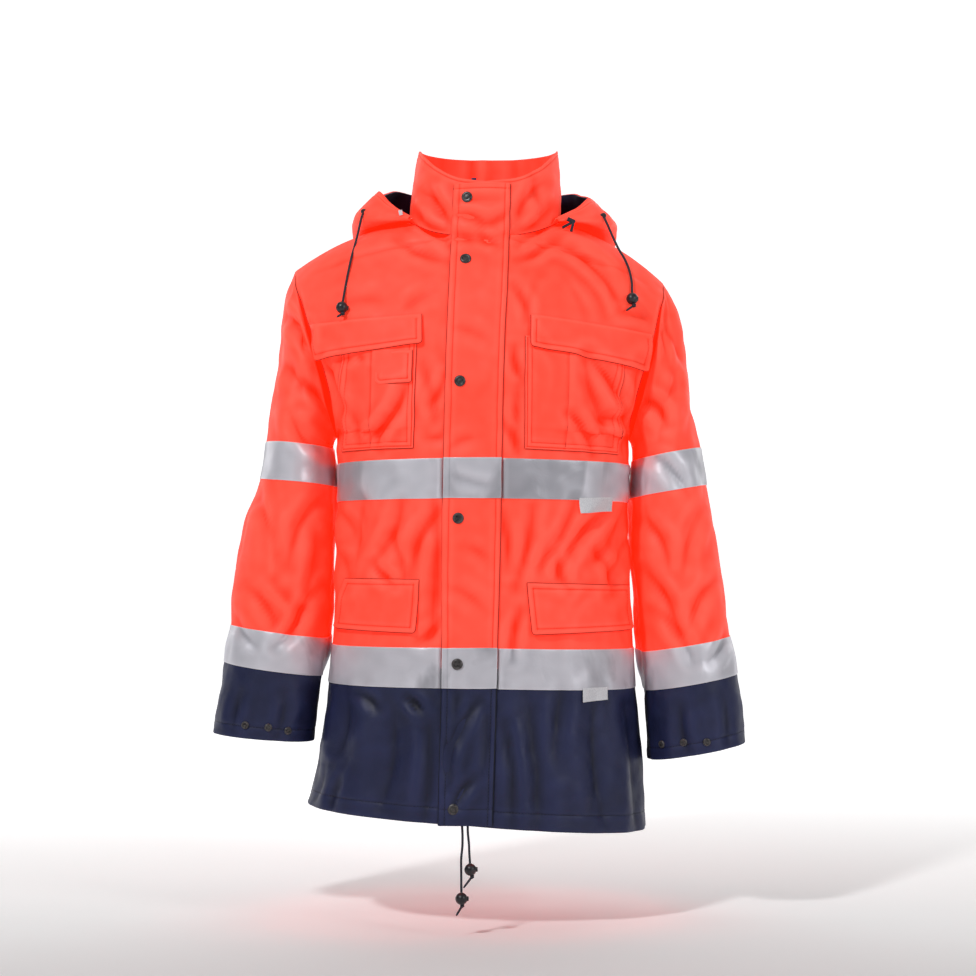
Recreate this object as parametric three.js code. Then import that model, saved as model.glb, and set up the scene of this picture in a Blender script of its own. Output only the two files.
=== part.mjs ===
// A hi-vis work jacket, filled out as if worn: fronts, back, sleeves, stand collar, folded-down hood,
// storm flap, pockets, reflective tapes, snaps and drawcords. Millimetres, +Z up, the front faces -Y,
// and the wearer's right is -X. The origin is the middle of the neck opening, where the wearer holds it.
import * as THREE from 'three';

// Driving dimensions
const SHELL = 1.6; // wall of the jacket's shell
const SEAM = 0.4; // gap between two sewn pieces
const LAID = 0.35; // gap between a panel and what lies on it
const TAPE_WALL = 0.8;
const PATCH_WALL = 1.4; // a patch pocket
const FLAP_WALL = 1.8; // a pocket flap
const STORM_FLAP_WALL = 2.2;
const STORM_FLAP_LIFT = 1;
const SNAP_RADIUS = 7;
const SNAP_HEIGHT = 2.4;
const CUFF_SNAP_RADIUS = 5;
const CORD_RADIUS = 1.5;
const STOPPER_RADIUS = 7.5;
const HOOD_WALL = 1.2;
const UNDERARM = -275; // height of the armhole's lowest point
const NECK_FRONT = -30; // height of the neck seam at the front
const SHOULDER = 30; // row number of the shoulder seam

const ORANGE = new THREE.MeshStandardMaterial({ color: 0xff4a2e, roughness: 0.7, metalness: 0 });
const NAVY = new THREE.MeshStandardMaterial({ color: 0x26284a, roughness: 0.55, metalness: 0 });
const SILVER = new THREE.MeshStandardMaterial({ color: 0xb4b3bd, roughness: 0.4, metalness: 0.2 });
const BLACK = new THREE.MeshStandardMaterial({ color: 0x1b1b20, roughness: 0.4, metalness: 0 });
const WHITE = new THREE.MeshStandardMaterial({ color: 0xdedee2, roughness: 0.6, metalness: 0 });

const jacket = new THREE.Group();

function lerp(a, b, t) {
  return a + (b - a) * t;
}

function vec(x, y, z) {
  return new THREE.Vector3(x, y, z);
}

// A smooth curve through one named column of a table, that never overshoots its rows.
function column(rows, at, key) {
  const x = rows.map((row) => row[at]);
  const y = rows.map((row) => row[key]);
  const slopes = x.slice(1).map((next, i) => (y[i + 1] - y[i]) / (next - x[i]));
  const tangent = x.map((_, i) => {
    if (i === 0) return slopes[0];
    if (i === x.length - 1) return slopes[i - 1];
    const [a, b] = [slopes[i - 1], slopes[i]];
    return a * b <= 0 ? 0 : (2 * a * b) / (a + b);
  });
  return (value) => {
    let i = 0;
    while (i < x.length - 2 && value > x[i + 1]) i += 1;
    const h = x[i + 1] - x[i];
    const t = THREE.MathUtils.clamp((value - x[i]) / h, 0, 1);
    const [t2, t3] = [t * t, t * t * t];
    return (
      y[i] * (2 * t3 - 3 * t2 + 1) +
      y[i + 1] * (3 * t2 - 2 * t3) +
      h * tangent[i] * (t3 - 2 * t2 + t) +
      h * tangent[i + 1] * (t3 - t2)
    );
  };
}

function columns(rows, at, keys) {
  return Object.fromEntries(keys.map((key) => [key, column(rows, at, key)]));
}

// Torso. Each row is a half section from the centre line, then the neck seam, out to the side seam,
// then the armhole. `row` is the height at the centre front; above NECK_FRONT it only numbers the rows.
const CENTRE_FRONT = columns(
  [
    { row: -764, line: -20, out: 0, y: -170, z: -764 },
    { row: -690, line: -18, out: 0, y: -167, z: -690 },
    { row: -596, line: -15, out: 0, y: -161, z: -596 },
    { row: -500, line: -13, out: 0, y: -157, z: -500 },
    { row: -400, line: -12, out: 0, y: -157, z: -400 },
    { row: -300, line: -10, out: 0, y: -160, z: -300 },
    { row: -230, line: -8, out: 0, y: -159, z: -230 },
    { row: -150, line: -5, out: 0, y: -149, z: -150 },
    { row: -85, line: -2, out: 0, y: -130, z: -85 },
    { row: -50, line: 0, out: 0, y: -114, z: -50 },
    { row: -30, line: 1, out: 0, y: -104, z: -30 },
    { row: -18, line: 2, out: 36, y: -98, z: -28 },
    { row: -6, line: 2, out: 64, y: -82, z: -21 },
    { row: 6, line: 3, out: 83, y: -58, z: -11 },
    { row: 18, line: 3, out: 94, y: -31, z: -2 },
    { row: 30, line: 3, out: 98, y: -4, z: 4 },
  ],
  'row',
  ['line', 'out', 'y', 'z'],
);

const CENTRE_BACK = columns(
  [
    { row: -764, out: 0, y: 170, z: -766 },
    { row: -690, out: 0, y: 166, z: -691 },
    { row: -596, out: 0, y: 159, z: -596 },
    { row: -450, out: 0, y: 149, z: -450 },
    { row: -300, out: 0, y: 151, z: -300 },
    { row: -210, out: 0, y: 151, z: -205 },
    { row: -130, out: 0, y: 143, z: -118 },
    { row: -85, out: 0, y: 132, z: -72 },
    { row: -30, out: 0, y: 98, z: -3 },
    { row: -18, out: 0, y: 80, z: 15 },
    { row: -6, out: 40, y: 73, z: 14 },
    { row: 6, out: 70, y: 54, z: 11 },
    { row: 18, out: 90, y: 28, z: 8 },
    { row: 30, out: 98, y: -4, z: 4 },
  ],
  'row',
  ['out', 'y', 'z'],
);

// Side seam, then the armhole's front and back edges, on the wearer's right and left.
const SIDE = columns(
  [
    { row: -764, right: 226, left: 214, zRight: -752, zLeft: -785, front: 0, back: 0 },
    { row: -690, right: 211, left: 208, zRight: -684, zLeft: -702, front: 0, back: 0 },
    { row: -596, right: 199, left: 200, zRight: -595, zLeft: -602, front: 0, back: 0 },
    { row: -500, right: 192, left: 194, zRight: -500, zLeft: -504, front: 0, back: 0 },
    { row: -400, right: 187, left: 190, zRight: -400, zLeft: -402, front: 0, back: 0 },
    { row: -311, right: 188, left: 191, zRight: -314, zLeft: -315, front: 0, back: 0 },
    { row: -275, right: 190, left: 192, zRight: -276, zLeft: -280, front: 0, back: 0 },
    { row: -266, right: 191, left: 193, zRight: -271, zLeft: -275, front: -24, back: 26 },
    { row: -245, right: 195, left: 197, zRight: -252, zLeft: -257, front: -50, back: 52 },
    { row: -210, right: 201, left: 204, zRight: -220, zLeft: -226, front: -70, back: 72 },
    { row: -170, right: 211, left: 214, zRight: -180, zLeft: -188, front: -80, back: 80 },
    { row: -130, right: 224, left: 224, zRight: -142, zLeft: -152, front: -78, back: 80 },
    { row: -85, right: 234, left: 231, zRight: -108, zLeft: -119, front: -66, back: 70 },
    { row: -30, right: 241, left: 235, zRight: -82, zLeft: -95, front: -46, back: 50 },
    { row: -18, right: 242, left: 235, zRight: -75, zLeft: -89, front: -36, back: 41 },
    { row: -6, right: 243, left: 236, zRight: -69, zLeft: -83, front: -26, back: 31 },
    { row: 6, right: 244, left: 236, zRight: -64, zLeft: -78, front: -15, back: 21 },
    { row: 18, right: 244, left: 236, zRight: -60, zLeft: -75, front: -5, back: 12 },
    { row: 30, right: 244, left: 236, zRight: -58, zLeft: -73, front: 4, back: 4 },
  ],
  'row',
  ['right', 'left', 'zRight', 'zLeft', 'front', 'back'],
);

// How far each row turns round (degrees), how square it is, and how it is crowned between its ends.
const SECTION = columns(
  [
    { row: -764, turn: 90, square: 0.9, crown: 0 },
    { row: -560, turn: 90, square: 0.86, crown: 0 },
    { row: -311, turn: 90, square: 0.82, crown: 0 },
    { row: -275, turn: 89, square: 0.82, crown: 0 },
    { row: -245, turn: 72, square: 0.86, crown: 0 },
    { row: -210, turn: 66, square: 0.9, crown: 0 },
    { row: -130, turn: 62, square: 0.95, crown: 2 },
    { row: -85, turn: 60, square: 1, crown: 5 },
    { row: -30, turn: 50, square: 1, crown: 10 },
    { row: 30, turn: 30, square: 1, crown: 10 },
  ],
  'row',
  ['turn', 'square', 'crown'],
);

// Largest folds of the torso, as troughs (depth above 0) or ridges between two points of the front or
// back view. `width` is half the fold's breadth.
const FOLDS = [
  { face: 'front', x1: 168, z1: -178, x2: 92, z2: -318, width: 25, depth: 3.7 },
  { face: 'front', x1: 60, z1: -52, x2: 150, z2: -122, width: 29, depth: 3.1 },
  { face: 'front', x1: -150, z1: -190, x2: -95, z2: -300, width: 23, depth: 3.1 },
  { face: 'front', x1: -175, z1: -362, x2: -80, z2: -452, width: 29, depth: 3.7 },
  { face: 'front', x1: 178, z1: -372, x2: 80, z2: -462, width: 29, depth: 3.7 },
  { face: 'front', x1: -66, z1: -380, x2: -62, z2: -540, width: 22, depth: 3.1 },
  { face: 'front', x1: 40, z1: -420, x2: 44, z2: -560, width: 23, depth: 2.5 },
  { face: 'front', x1: -120, z1: -605, x2: -140, z2: -764, width: 35, depth: 3.7 },
  { face: 'front', x1: 95, z1: -610, x2: 120, z2: -775, width: 38, depth: 3.7 },
  { face: 'back', x1: -40, z1: -300, x2: -70, z2: -560, width: 35, depth: 3.7 },
  { face: 'back', x1: 55, z1: -270, x2: 80, z2: -540, width: 35, depth: 3.7 },
  { face: 'back', x1: -150, z1: -250, x2: -100, z2: -420, width: 29, depth: 3.7 },
  { face: 'back', x1: 155, z1: -250, x2: 120, z2: -420, width: 29, depth: 3.7 },
  { face: 'back', x1: 0, z1: -600, x2: 10, z2: -766, width: 41, depth: 3.7 },
];

function foldDepth(face, x, z) {
  let depth = 0;
  for (const fold of FOLDS) {
    if (fold.face !== face) continue;
    const [dx, dz] = [fold.x2 - fold.x1, fold.z2 - fold.z1];
    const along = ((x - fold.x1) * dx + (z - fold.z1) * dz) / (dx * dx + dz * dz);
    const t = THREE.MathUtils.clamp(along, 0, 1);
    const away = Math.hypot(x - fold.x1 - t * dx, z - fold.z1 - t * dz) / fold.width;
    depth += fold.depth * Math.exp(-away * away) * (0.45 + 0.55 * Math.sin(Math.PI * t));
  }
  return depth;
}

function torsoPoint(face, side, row, t) {
  const centre = face === 'front' ? CENTRE_FRONT : CENTRE_BACK;
  const sign = side === 'right' ? -1 : 1;
  // Below the neck seam the back's centre is at X 0, and at the shoulder it joins the front's line.
  const backLine = 3 * THREE.MathUtils.smoothstep(row, -18, SHOULDER);
  const line = face === 'front' ? centre.line(row) : backLine;
  const xIn = line + sign * centre.out(row);
  const xOut = sign * SIDE[side](row);
  const yIn = centre.y(row);
  const yOut = SIDE[face](row);
  const zIn = centre.z(row);
  const zOut = SIDE[side === 'right' ? 'zRight' : 'zLeft'](row);
  const turn = THREE.MathUtils.degToRad(SECTION.turn(row));
  const across = (Math.sin(turn * t) / Math.sin(turn)) ** SECTION.square(row);
  const bulge = Math.max(0, (Math.cos(turn * t) - Math.cos(turn)) / (1 - Math.cos(turn)));
  const point = vec(
    lerp(xIn, xOut, across),
    lerp(yOut, yIn, bulge ** SECTION.square(row)),
    lerp(zIn, zOut, across) + SECTION.crown(row) * Math.sin(Math.PI * t),
  );
  const edgeFade = Math.min(1, 4 * (1 - t));
  const neckFade = THREE.MathUtils.smoothstep(-row, -NECK_FRONT, 70);
  const depth = foldDepth(face, point.x, point.z) * edgeFade * neckFade;
  point.y += (face === 'front' ? 1 : -1) * depth;
  return point;
}

const ROWS = [
  -764, -725, -685, -640, -596, -571, -546, -505, -463, -430, -395, -361, -311, -293, UNDERARM,
  -266, -245, -210, -170, -130, -85, NECK_FRONT, -18, -6, 6, 18, SHOULDER,
];
const HALF = 8; // columns from the centre line to the side seam
const SPLIT = ROWS.indexOf(-571); // navy below this row, orange above it
const ARMPIT = ROWS.indexOf(UNDERARM);
const NECK = ROWS.indexOf(NECK_FRONT);
const BACK_NECK = NECK + 1; // row that reaches the neck seam at the centre back

function torsoGrid(face) {
  return ROWS.map((row) => {
    const right = [];
    const left = [];
    for (let j = 0; j <= HALF; j += 1) {
      right.push(torsoPoint(face, 'right', row, 1 - j / HALF));
      left.push(torsoPoint(face, 'left', row, j / HALF));
    }
    // Above the neck the two halves part, and both keep their neck seam point.
    return { right, left };
  });
}

const FRONT = torsoGrid('front');
const BACK = torsoGrid('back');

// Sleeves. Each ring runs from its outer point to its inner one in the front view.
const SLEEVE_RINGS = {
  right: [
    { xOut: 254, zOut: -88, xIn: 193.5, zIn: -280, deep: 84, y: 0 },
    { xOut: 259, zOut: -120, xIn: 195, zIn: -284, deep: 84, y: 0 },
    { xOut: 264, zOut: -172, xIn: 196, zIn: -288, deep: 84, y: 0 },
    { xOut: 274, zOut: -235, xIn: 196, zIn: -289, deep: 83, y: 0 },
    { xOut: 281, zOut: -284, xIn: 196, zIn: -292, deep: 82, y: -1 },
    { xOut: 287, zOut: -333, xIn: 195, zIn: -341, deep: 80, y: -2 },
    { xOut: 305, zOut: -378, xIn: 194, zIn: -390, deep: 79, y: -4 },
    { xOut: 316, zOut: -432, xIn: 196, zIn: -446, deep: 76, y: -8 },
    { xOut: 324, zOut: -482, xIn: 198, zIn: -498, deep: 73, y: -13 },
    { xOut: 326, zOut: -521, xIn: 202, zIn: -538, deep: 71, y: -17 },
    { xOut: 330, zOut: -545, xIn: 205, zIn: -562, deep: 70, y: -20 },
    { xOut: 333, zOut: -569, xIn: 208, zIn: -587, deep: 69, y: -22 },
    { xOut: 341, zOut: -620, xIn: 213, zIn: -632, deep: 65, y: -26 },
    { xOut: 347, zOut: -660, xIn: 218, zIn: -671, deep: 60, y: -30 },
  ],
  left: [
    { xOut: 249, zOut: -101, xIn: 195.5, zIn: -285, deep: 84, y: 0 },
    { xOut: 258, zOut: -128, xIn: 197, zIn: -289, deep: 84, y: 0 },
    { xOut: 266, zOut: -172, xIn: 198, zIn: -294, deep: 84, y: 0 },
    { xOut: 272, zOut: -238, xIn: 198, zIn: -299, deep: 83, y: 0 },
    { xOut: 282, zOut: -292, xIn: 198, zIn: -308, deep: 82, y: -1 },
    { xOut: 292, zOut: -340, xIn: 197, zIn: -357, deep: 80, y: -2 },
    { xOut: 301, zOut: -389, xIn: 197, zIn: -408, deep: 79, y: -4 },
    { xOut: 309, zOut: -440, xIn: 200, zIn: -458, deep: 76, y: -8 },
    { xOut: 317, zOut: -490, xIn: 204, zIn: -508, deep: 73, y: -13 },
    { xOut: 322, zOut: -536, xIn: 208, zIn: -556, deep: 71, y: -17 },
    { xOut: 327, zOut: -560, xIn: 210, zIn: -581, deep: 70, y: -20 },
    { xOut: 331, zOut: -584, xIn: 212, zIn: -606, deep: 69, y: -22 },
    { xOut: 337, zOut: -632, xIn: 214, zIn: -656, deep: 65, y: -26 },
    { xOut: 342, zOut: -672, xIn: 217, zIn: -695, deep: 60, y: -30 },
  ],
};
const UPPER_TAPE_RING = 5; // the tape lies between this ring and the next
const LOWER_TAPE_RING = 10;
const CUFF_RING = 11; // the navy cuff starts here, under the middle of the lower tape
// Behind, each sleeve leans in against the body: how far, and over which angles and rings.
const TUCK = { reach: 15, angle: 222, spread: 15, rings: [4.5, 6, 10, 13] };

// The armhole: front edge from the shoulder tip down to the underarm, then the back edge up again.
function armhole(side) {
  const edge = (grid) => grid.map((row) => (side === 'right' ? row.right[0] : row.left[HALF]));
  const front = edge(FRONT).slice(ARMPIT).reverse();
  const back = edge(BACK).slice(ARMPIT + 1, -1);
  return [...front, ...back];
}

// Elbow and shoulder folds of the sleeves: troughs round part of the ring, angle 0 on the outer side,
// 90 in front.
const SLEEVE_FOLDS = [
  { side: 'right', ring: 2.6, angle: 60, rings: 0.9, spread: 34, depth: 5 },
  { side: 'right', ring: 8.6, angle: 110, rings: 0.8, spread: 45, depth: 6 },
  { side: 'right', ring: 9.4, angle: 150, rings: 0.6, spread: 40, depth: -4 },
  { side: 'right', ring: 7.5, angle: -90, rings: 0.8, spread: 50, depth: 6 },
  { side: 'left', ring: 2.8, angle: 70, rings: 0.9, spread: 34, depth: 5 },
  { side: 'left', ring: 7.6, angle: 80, rings: 0.8, spread: 45, depth: 6 },
  { side: 'left', ring: 9.2, angle: 130, rings: 0.7, spread: 40, depth: 5 },
  { side: 'left', ring: 8.2, angle: -90, rings: 0.8, spread: 50, depth: 6 },
];

function sleeveFold(side, ring, degrees) {
  let depth = 0;
  for (const fold of SLEEVE_FOLDS) {
    if (fold.side !== side) continue;
    const turn = THREE.MathUtils.euclideanModulo(degrees - fold.angle + 180, 360) - 180;
    const away = ((ring - fold.ring) / fold.rings) ** 2 + (turn / fold.spread) ** 2;
    depth += fold.depth * Math.exp(-away);
  }
  return depth;
}

function tuck(ring, degrees) {
  const [start, full, end, none] = TUCK.rings;
  const turn = (degrees - TUCK.angle) / TUCK.spread;
  const fade = THREE.MathUtils.smoothstep(ring, start, full) * (1 - THREE.MathUtils.smoothstep(ring, end, none));
  return TUCK.reach * Math.exp(-turn * turn) * fade;
}

function sleeveGrid(side) {
  const sign = side === 'right' ? -1 : 1;
  const loop = armhole(side);
  const count = loop.length;
  const top = loop[0];
  const low = loop[count / 2];
  const middle = top.clone().add(low).multiplyScalar(0.5);
  const half = top.clone().sub(low).multiplyScalar(0.5);
  // The angle of each armhole point in the loop's own frame; the rings start from these angles.
  const startAngles = loop.map((point, i) => {
    const level = THREE.MathUtils.clamp(point.clone().sub(middle).dot(half) / half.lengthSq(), -1, 1);
    return i <= count / 2 ? Math.acos(level) : 2 * Math.PI - Math.acos(level);
  });
  const rings = SLEEVE_RINGS[side].map((ring, k) => {
    const outer = vec(sign * ring.xOut, ring.y, ring.zOut);
    const inner = vec(sign * ring.xIn, ring.y, ring.zIn);
    const centre = outer.clone().add(inner).multiplyScalar(0.5);
    const reach = outer.clone().sub(inner).multiplyScalar(0.5);
    return startAngles.map((start, i) => {
      const even = (2 * Math.PI * i) / count;
      const angle = lerp(start, even, Math.min(1, (k + 1) / 5));
      const fold = sleeveFold(side, k + 1, THREE.MathUtils.radToDeg(angle));
      const shrink = 1 - fold / 70;
      const lean = -sign * tuck(k + 1, THREE.MathUtils.radToDeg(angle));
      return centre
        .clone()
        .addScaledVector(reach, Math.cos(angle) * shrink)
        .add(vec(lean, -ring.deep * Math.sin(angle) * shrink, 0));
    });
  });
  return [loop, ...rings];
}

const SLEEVES = { right: sleeveGrid('right'), left: sleeveGrid('left') };

// Collar: the neck seam ring, then three rings up to the top edge.
function neckLoop() {
  const frontRight = FRONT.slice(NECK).map((row) => row.right[HALF]);
  const backRight = BACK.slice(BACK_NECK, -1).reverse().map((row) => row.right[HALF]);
  const backLeft = BACK.slice(BACK_NECK + 1, -1).map((row) => row.left[0]);
  const frontLeft = FRONT.slice(NECK).reverse().map((row) => row.left[0]);
  return [...frontRight, ...backRight, ...backLeft, ...frontLeft];
}

// The collar's top edge by its angle round the neck, 0 at the centre front and 180 at the centre back.
const COLLAR_TOP = columns(
  [
    { turn: 0, reach: 98, z: 47 },
    { turn: 25, reach: 98, z: 53 },
    { turn: 50, reach: 95, z: 72 },
    { turn: 75, reach: 91, z: 91 },
    { turn: 95, reach: 89, z: 96 },
    { turn: 130, reach: 88, z: 99 },
    { turn: 180, reach: 92, z: 102 },
  ],
  'turn',
  ['reach', 'z'],
);
const NECK_CENTRE = { x: 3, y: -10 };
const COLLAR_TOP_SHIFT = 5; // the stand leans a little to the wearer's left
const COLLAR_SWELL = 3; // how far the stand swells half way up
const COLLAR_RINGS = 4;

function neckTurn(point) {
  const degrees = Math.atan2(point.x - NECK_CENTRE.x, -(point.y - NECK_CENTRE.y));
  return Math.abs(THREE.MathUtils.radToDeg(degrees));
}

function collarGrid() {
  const base = neckLoop();
  const rings = [base];
  for (let k = 1; k <= COLLAR_RINGS; k += 1) {
    const up = k / COLLAR_RINGS;
    rings.push(
      base.map((point) => {
        const turn = neckTurn(point);
        const away = Math.hypot(point.x - NECK_CENTRE.x, point.y - NECK_CENTRE.y);
        const reach = lerp(away, COLLAR_TOP.reach(turn), up) + COLLAR_SWELL * Math.sin(Math.PI * up);
        const shift = COLLAR_TOP_SHIFT * up;
        return vec(
          NECK_CENTRE.x + ((point.x - NECK_CENTRE.x) / away) * reach + shift,
          NECK_CENTRE.y + ((point.y - NECK_CENTRE.y) / away) * reach,
          lerp(point.z, COLLAR_TOP.z(turn), up),
        );
      }),
    );
  }
  return rings;
}

const COLLAR = collarGrid();

// A surface is a grid of points: its rows go up (or out along a sleeve), `facing` is 1 where columns
// run anticlockwise seen from above, and a wrapped one is a tube.
function surface(grid, facing = 1, wrap = false) {
  return { grid, facing, wrap, normals: null };
}

const SURFACE = {
  frontRight: surface(FRONT.map((row) => row.right)),
  frontLeft: surface(FRONT.map((row) => row.left)),
  backRight: surface(BACK.map((row) => row.right), -1),
  backLeft: surface(BACK.map((row) => row.left), -1),
  sleeveRight: surface(SLEEVES.right, -1, true),
  sleeveLeft: surface(SLEEVES.left, 1, true),
  collar: surface(COLLAR, -1),
};

function key(point) {
  return [point.x, point.y, point.z].map((value) => value.toFixed(2)).join(' ');
}

// The quads of a block of rows, each with its corners anticlockwise seen from outside.
function quadsOf({ grid, facing, wrap }, rowFrom = 0, rowTo = grid.length - 1) {
  const quads = [];
  for (let i = rowFrom; i < rowTo; i += 1) {
    const width = grid[i].length;
    for (let j = 0; j < (wrap ? width : width - 1); j += 1) {
      const next = (j + 1) % width;
      const [a, b, c, d] = [grid[i][j], grid[i][next], grid[i + 1][next], grid[i + 1][j]];
      quads.push(facing > 0 ? [a, b, c, d] : [a, d, c, b]);
    }
  }
  return quads;
}

// Normals, averaged over every face that meets at a point, also across seams, so that two walls sewn
// together end in the same mitre.
const meeting = new Map();
for (const entry of Object.values(SURFACE)) {
  for (const [a, b, c, d] of quadsOf(entry)) {
    const normal = c.clone().sub(a).cross(d.clone().sub(b));
    if (normal.length() < 1) continue;
    normal.normalize();
    for (const corner of new Set([a, b, c, d])) {
      const sum = meeting.get(key(corner)) ?? vec(0, 0, 0);
      meeting.set(key(corner), sum.add(normal));
    }
  }
}

function normalAt(point) {
  return meeting.get(key(point)).clone().normalize();
}

for (const entry of Object.values(SURFACE)) {
  entry.normals = entry.grid.map((row) => row.map(normalAt));
}

// A mesh from a list of points and triangles.
function solid(name, material, points, triangles) {
  const geometry = new THREE.BufferGeometry();
  geometry.setAttribute('position', new THREE.Float32BufferAttribute(points.flatMap((p) => p.toArray()), 3));
  geometry.setIndex(triangles.flat());
  geometry.computeVertexNormals();
  const mesh = new THREE.Mesh(geometry, material);
  mesh.name = name;
  jacket.add(mesh);
  return mesh;
}

// A shell panel: quads thickened inwards, with their free edges pulled in by half a seam gap.
function panel(name, material, quads) {
  const numbers = new Map();
  const points = [];
  const number = (point) => {
    const at = key(point);
    if (!numbers.has(at)) {
      numbers.set(at, points.length);
      points.push(point);
    }
    return numbers.get(at);
  };
  const faces = [];
  const edges = new Map();
  for (const quad of quads) {
    const ring = quad.map(number).filter((n, i, all) => n !== all[(i + 1) % all.length]);
    if (ring.length < 3) continue;
    ring.forEach((n, i) => edges.set(`${n} ${ring[(i + 1) % ring.length]}`, [n, ring[(i + 1) % ring.length]]));
    faces.push([ring[0], ring[1], ring[2]]);
    if (ring.length === 4) faces.push([ring[0], ring[2], ring[3]]);
  }
  const free = [...edges.values()].filter(([a, b]) => !edges.has(`${b} ${a}`));
  const normals = points.map(normalAt);
  const pulls = points.map(() => []);
  for (const [a, b] of free) {
    const along = points[b].clone().sub(points[a]);
    for (const end of [a, b]) pulls[end].push(normals[end].clone().cross(along).normalize());
  }
  const shifted = points.map((point, i) => {
    const [first, second] = pulls[i];
    if (!first) return point.clone();
    if (!second) return point.clone().addScaledVector(first, SEAM / 2);
    const mitre = Math.max(0.5, 1 + first.dot(second));
    return point.clone().addScaledVector(first.clone().add(second), SEAM / 2 / mitre);
  });
  const inside = shifted.map((point, i) => point.clone().addScaledVector(normals[i], -SHELL));
  const count = points.length;
  const triangles = [];
  for (const [a, b, c] of faces) triangles.push([a, b, c], [count + a, count + c, count + b]);
  // Two panels that meet at an edge split its narrow face on the same line, so they stay clear.
  for (const [a, b] of free) {
    if (key(points[a]) < key(points[b])) triangles.push([b, a, count + b], [a, count + a, count + b]);
    else triangles.push([b, a, count + a], [b, count + a, count + b]);
  }
  return solid(name, material, [...shifted, ...inside], triangles);
}

// A closed wall between two grids of points of the same size, `outer` on the side that faces out.
// Wrapped grids are tubes, open at both ends.
function slab(name, material, outer, inner, facing = 1, wrap = false) {
  const width = outer[0].length;
  const height = outer.length;
  const triangles = [];
  const at = (layer, i, j) => layer * width * height + i * width + (j % width);
  const quad = (a, b, c, d) => triangles.push([a, b, c], [a, c, d]);
  const last = wrap ? width : width - 1;
  const top = height - 1;
  const side = width - 1;
  for (let j = 0; j < last; j += 1) {
    for (let i = 0; i < top; i += 1) {
      quad(at(0, i, j), at(0, i, j + 1), at(0, i + 1, j + 1), at(0, i + 1, j));
      quad(at(1, i, j), at(1, i + 1, j), at(1, i + 1, j + 1), at(1, i, j + 1));
    }
    quad(at(1, 0, j), at(1, 0, j + 1), at(0, 0, j + 1), at(0, 0, j));
    quad(at(0, top, j), at(0, top, j + 1), at(1, top, j + 1), at(1, top, j));
  }
  for (let i = 0; i < top && !wrap; i += 1) {
    quad(at(0, i, 0), at(0, i + 1, 0), at(1, i + 1, 0), at(1, i, 0));
    quad(at(1, i, side), at(1, i + 1, side), at(0, i + 1, side), at(0, i, side));
  }
  const wound = facing > 0 ? triangles : triangles.map(([a, b, c]) => [a, c, b]);
  return solid(name, material, [...outer.flat(), ...inner.flat()], wound);
}

// A point of a surface at fractional row and column, moved out along the surface's normal.
function lift({ grid, normals, wrap }, i, j, height) {
  const width = grid[0].length;
  const row = THREE.MathUtils.clamp(Math.floor(i), 0, grid.length - 2);
  const col = wrap ? Math.floor(j) : THREE.MathUtils.clamp(Math.floor(j), 0, width - 2);
  const [up, along] = [i - row, j - col];
  // Each quad is two flat triangles that meet on the line from its first corner to its third.
  const pick = (source) => {
    const [a, c] = [source[row][col % width], source[row + 1][(col + 1) % width]];
    const middle = along >= up ? source[row][(col + 1) % width] : source[row + 1][col % width];
    const [first, second] = along >= up ? [along, up] : [up, along];
    return vec(
      a.x + first * (middle.x - a.x) + second * (c.x - middle.x),
      a.y + first * (middle.y - a.y) + second * (c.y - middle.y),
      a.z + first * (middle.z - a.z) + second * (c.z - middle.z),
    );
  };
  return pick(grid).addScaledVector(pick(normals).normalize(), height);
}

// Fractional row and column of a surface where the front view has a point.
function locate(entry, x, z, [columnFrom, columnTo], [rowFrom, rowTo]) {
  const solve = (from, to, value) => {
    for (let n = from; n < to; n += 1) {
      const [a, b] = [value(n), value(n + 1)];
      if (a * b <= 0 && a !== b) return n + a / (a - b);
    }
    return Math.abs(value(from)) < Math.abs(value(to)) ? from : to;
  };
  let i = (rowFrom + rowTo) / 2;
  let j = (columnFrom + columnTo) / 2;
  for (let turn = 0; turn < 12; turn += 1) {
    i = solve(rowFrom, rowTo, (row) => lift(entry, row, j, 0).z - z);
    j = solve(columnFrom, columnTo, (col) => lift(entry, i, col, 0).x - x);
  }
  return { i, j };
}

const BELOW_NECK = [0, NECK];
const ALL_COLUMNS = [0, HALF];

function onFront(x, z) {
  const side = x < CENTRE_FRONT.line(z) ? 'frontRight' : 'frontLeft';
  return { entry: SURFACE[side], ...locate(SURFACE[side], x, z, ALL_COLUMNS, BELOW_NECK) };
}

// Rows or columns of a patch: its two ends and every whole grid line well inside them.
function linesBetween(low, high) {
  const lines = [];
  for (let n = Math.ceil(Math.max(...low) + 0.12); n <= Math.min(...high) - 0.12; n += 1) lines.push(n);
  return ['low', ...lines, 'high'];
}

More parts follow.
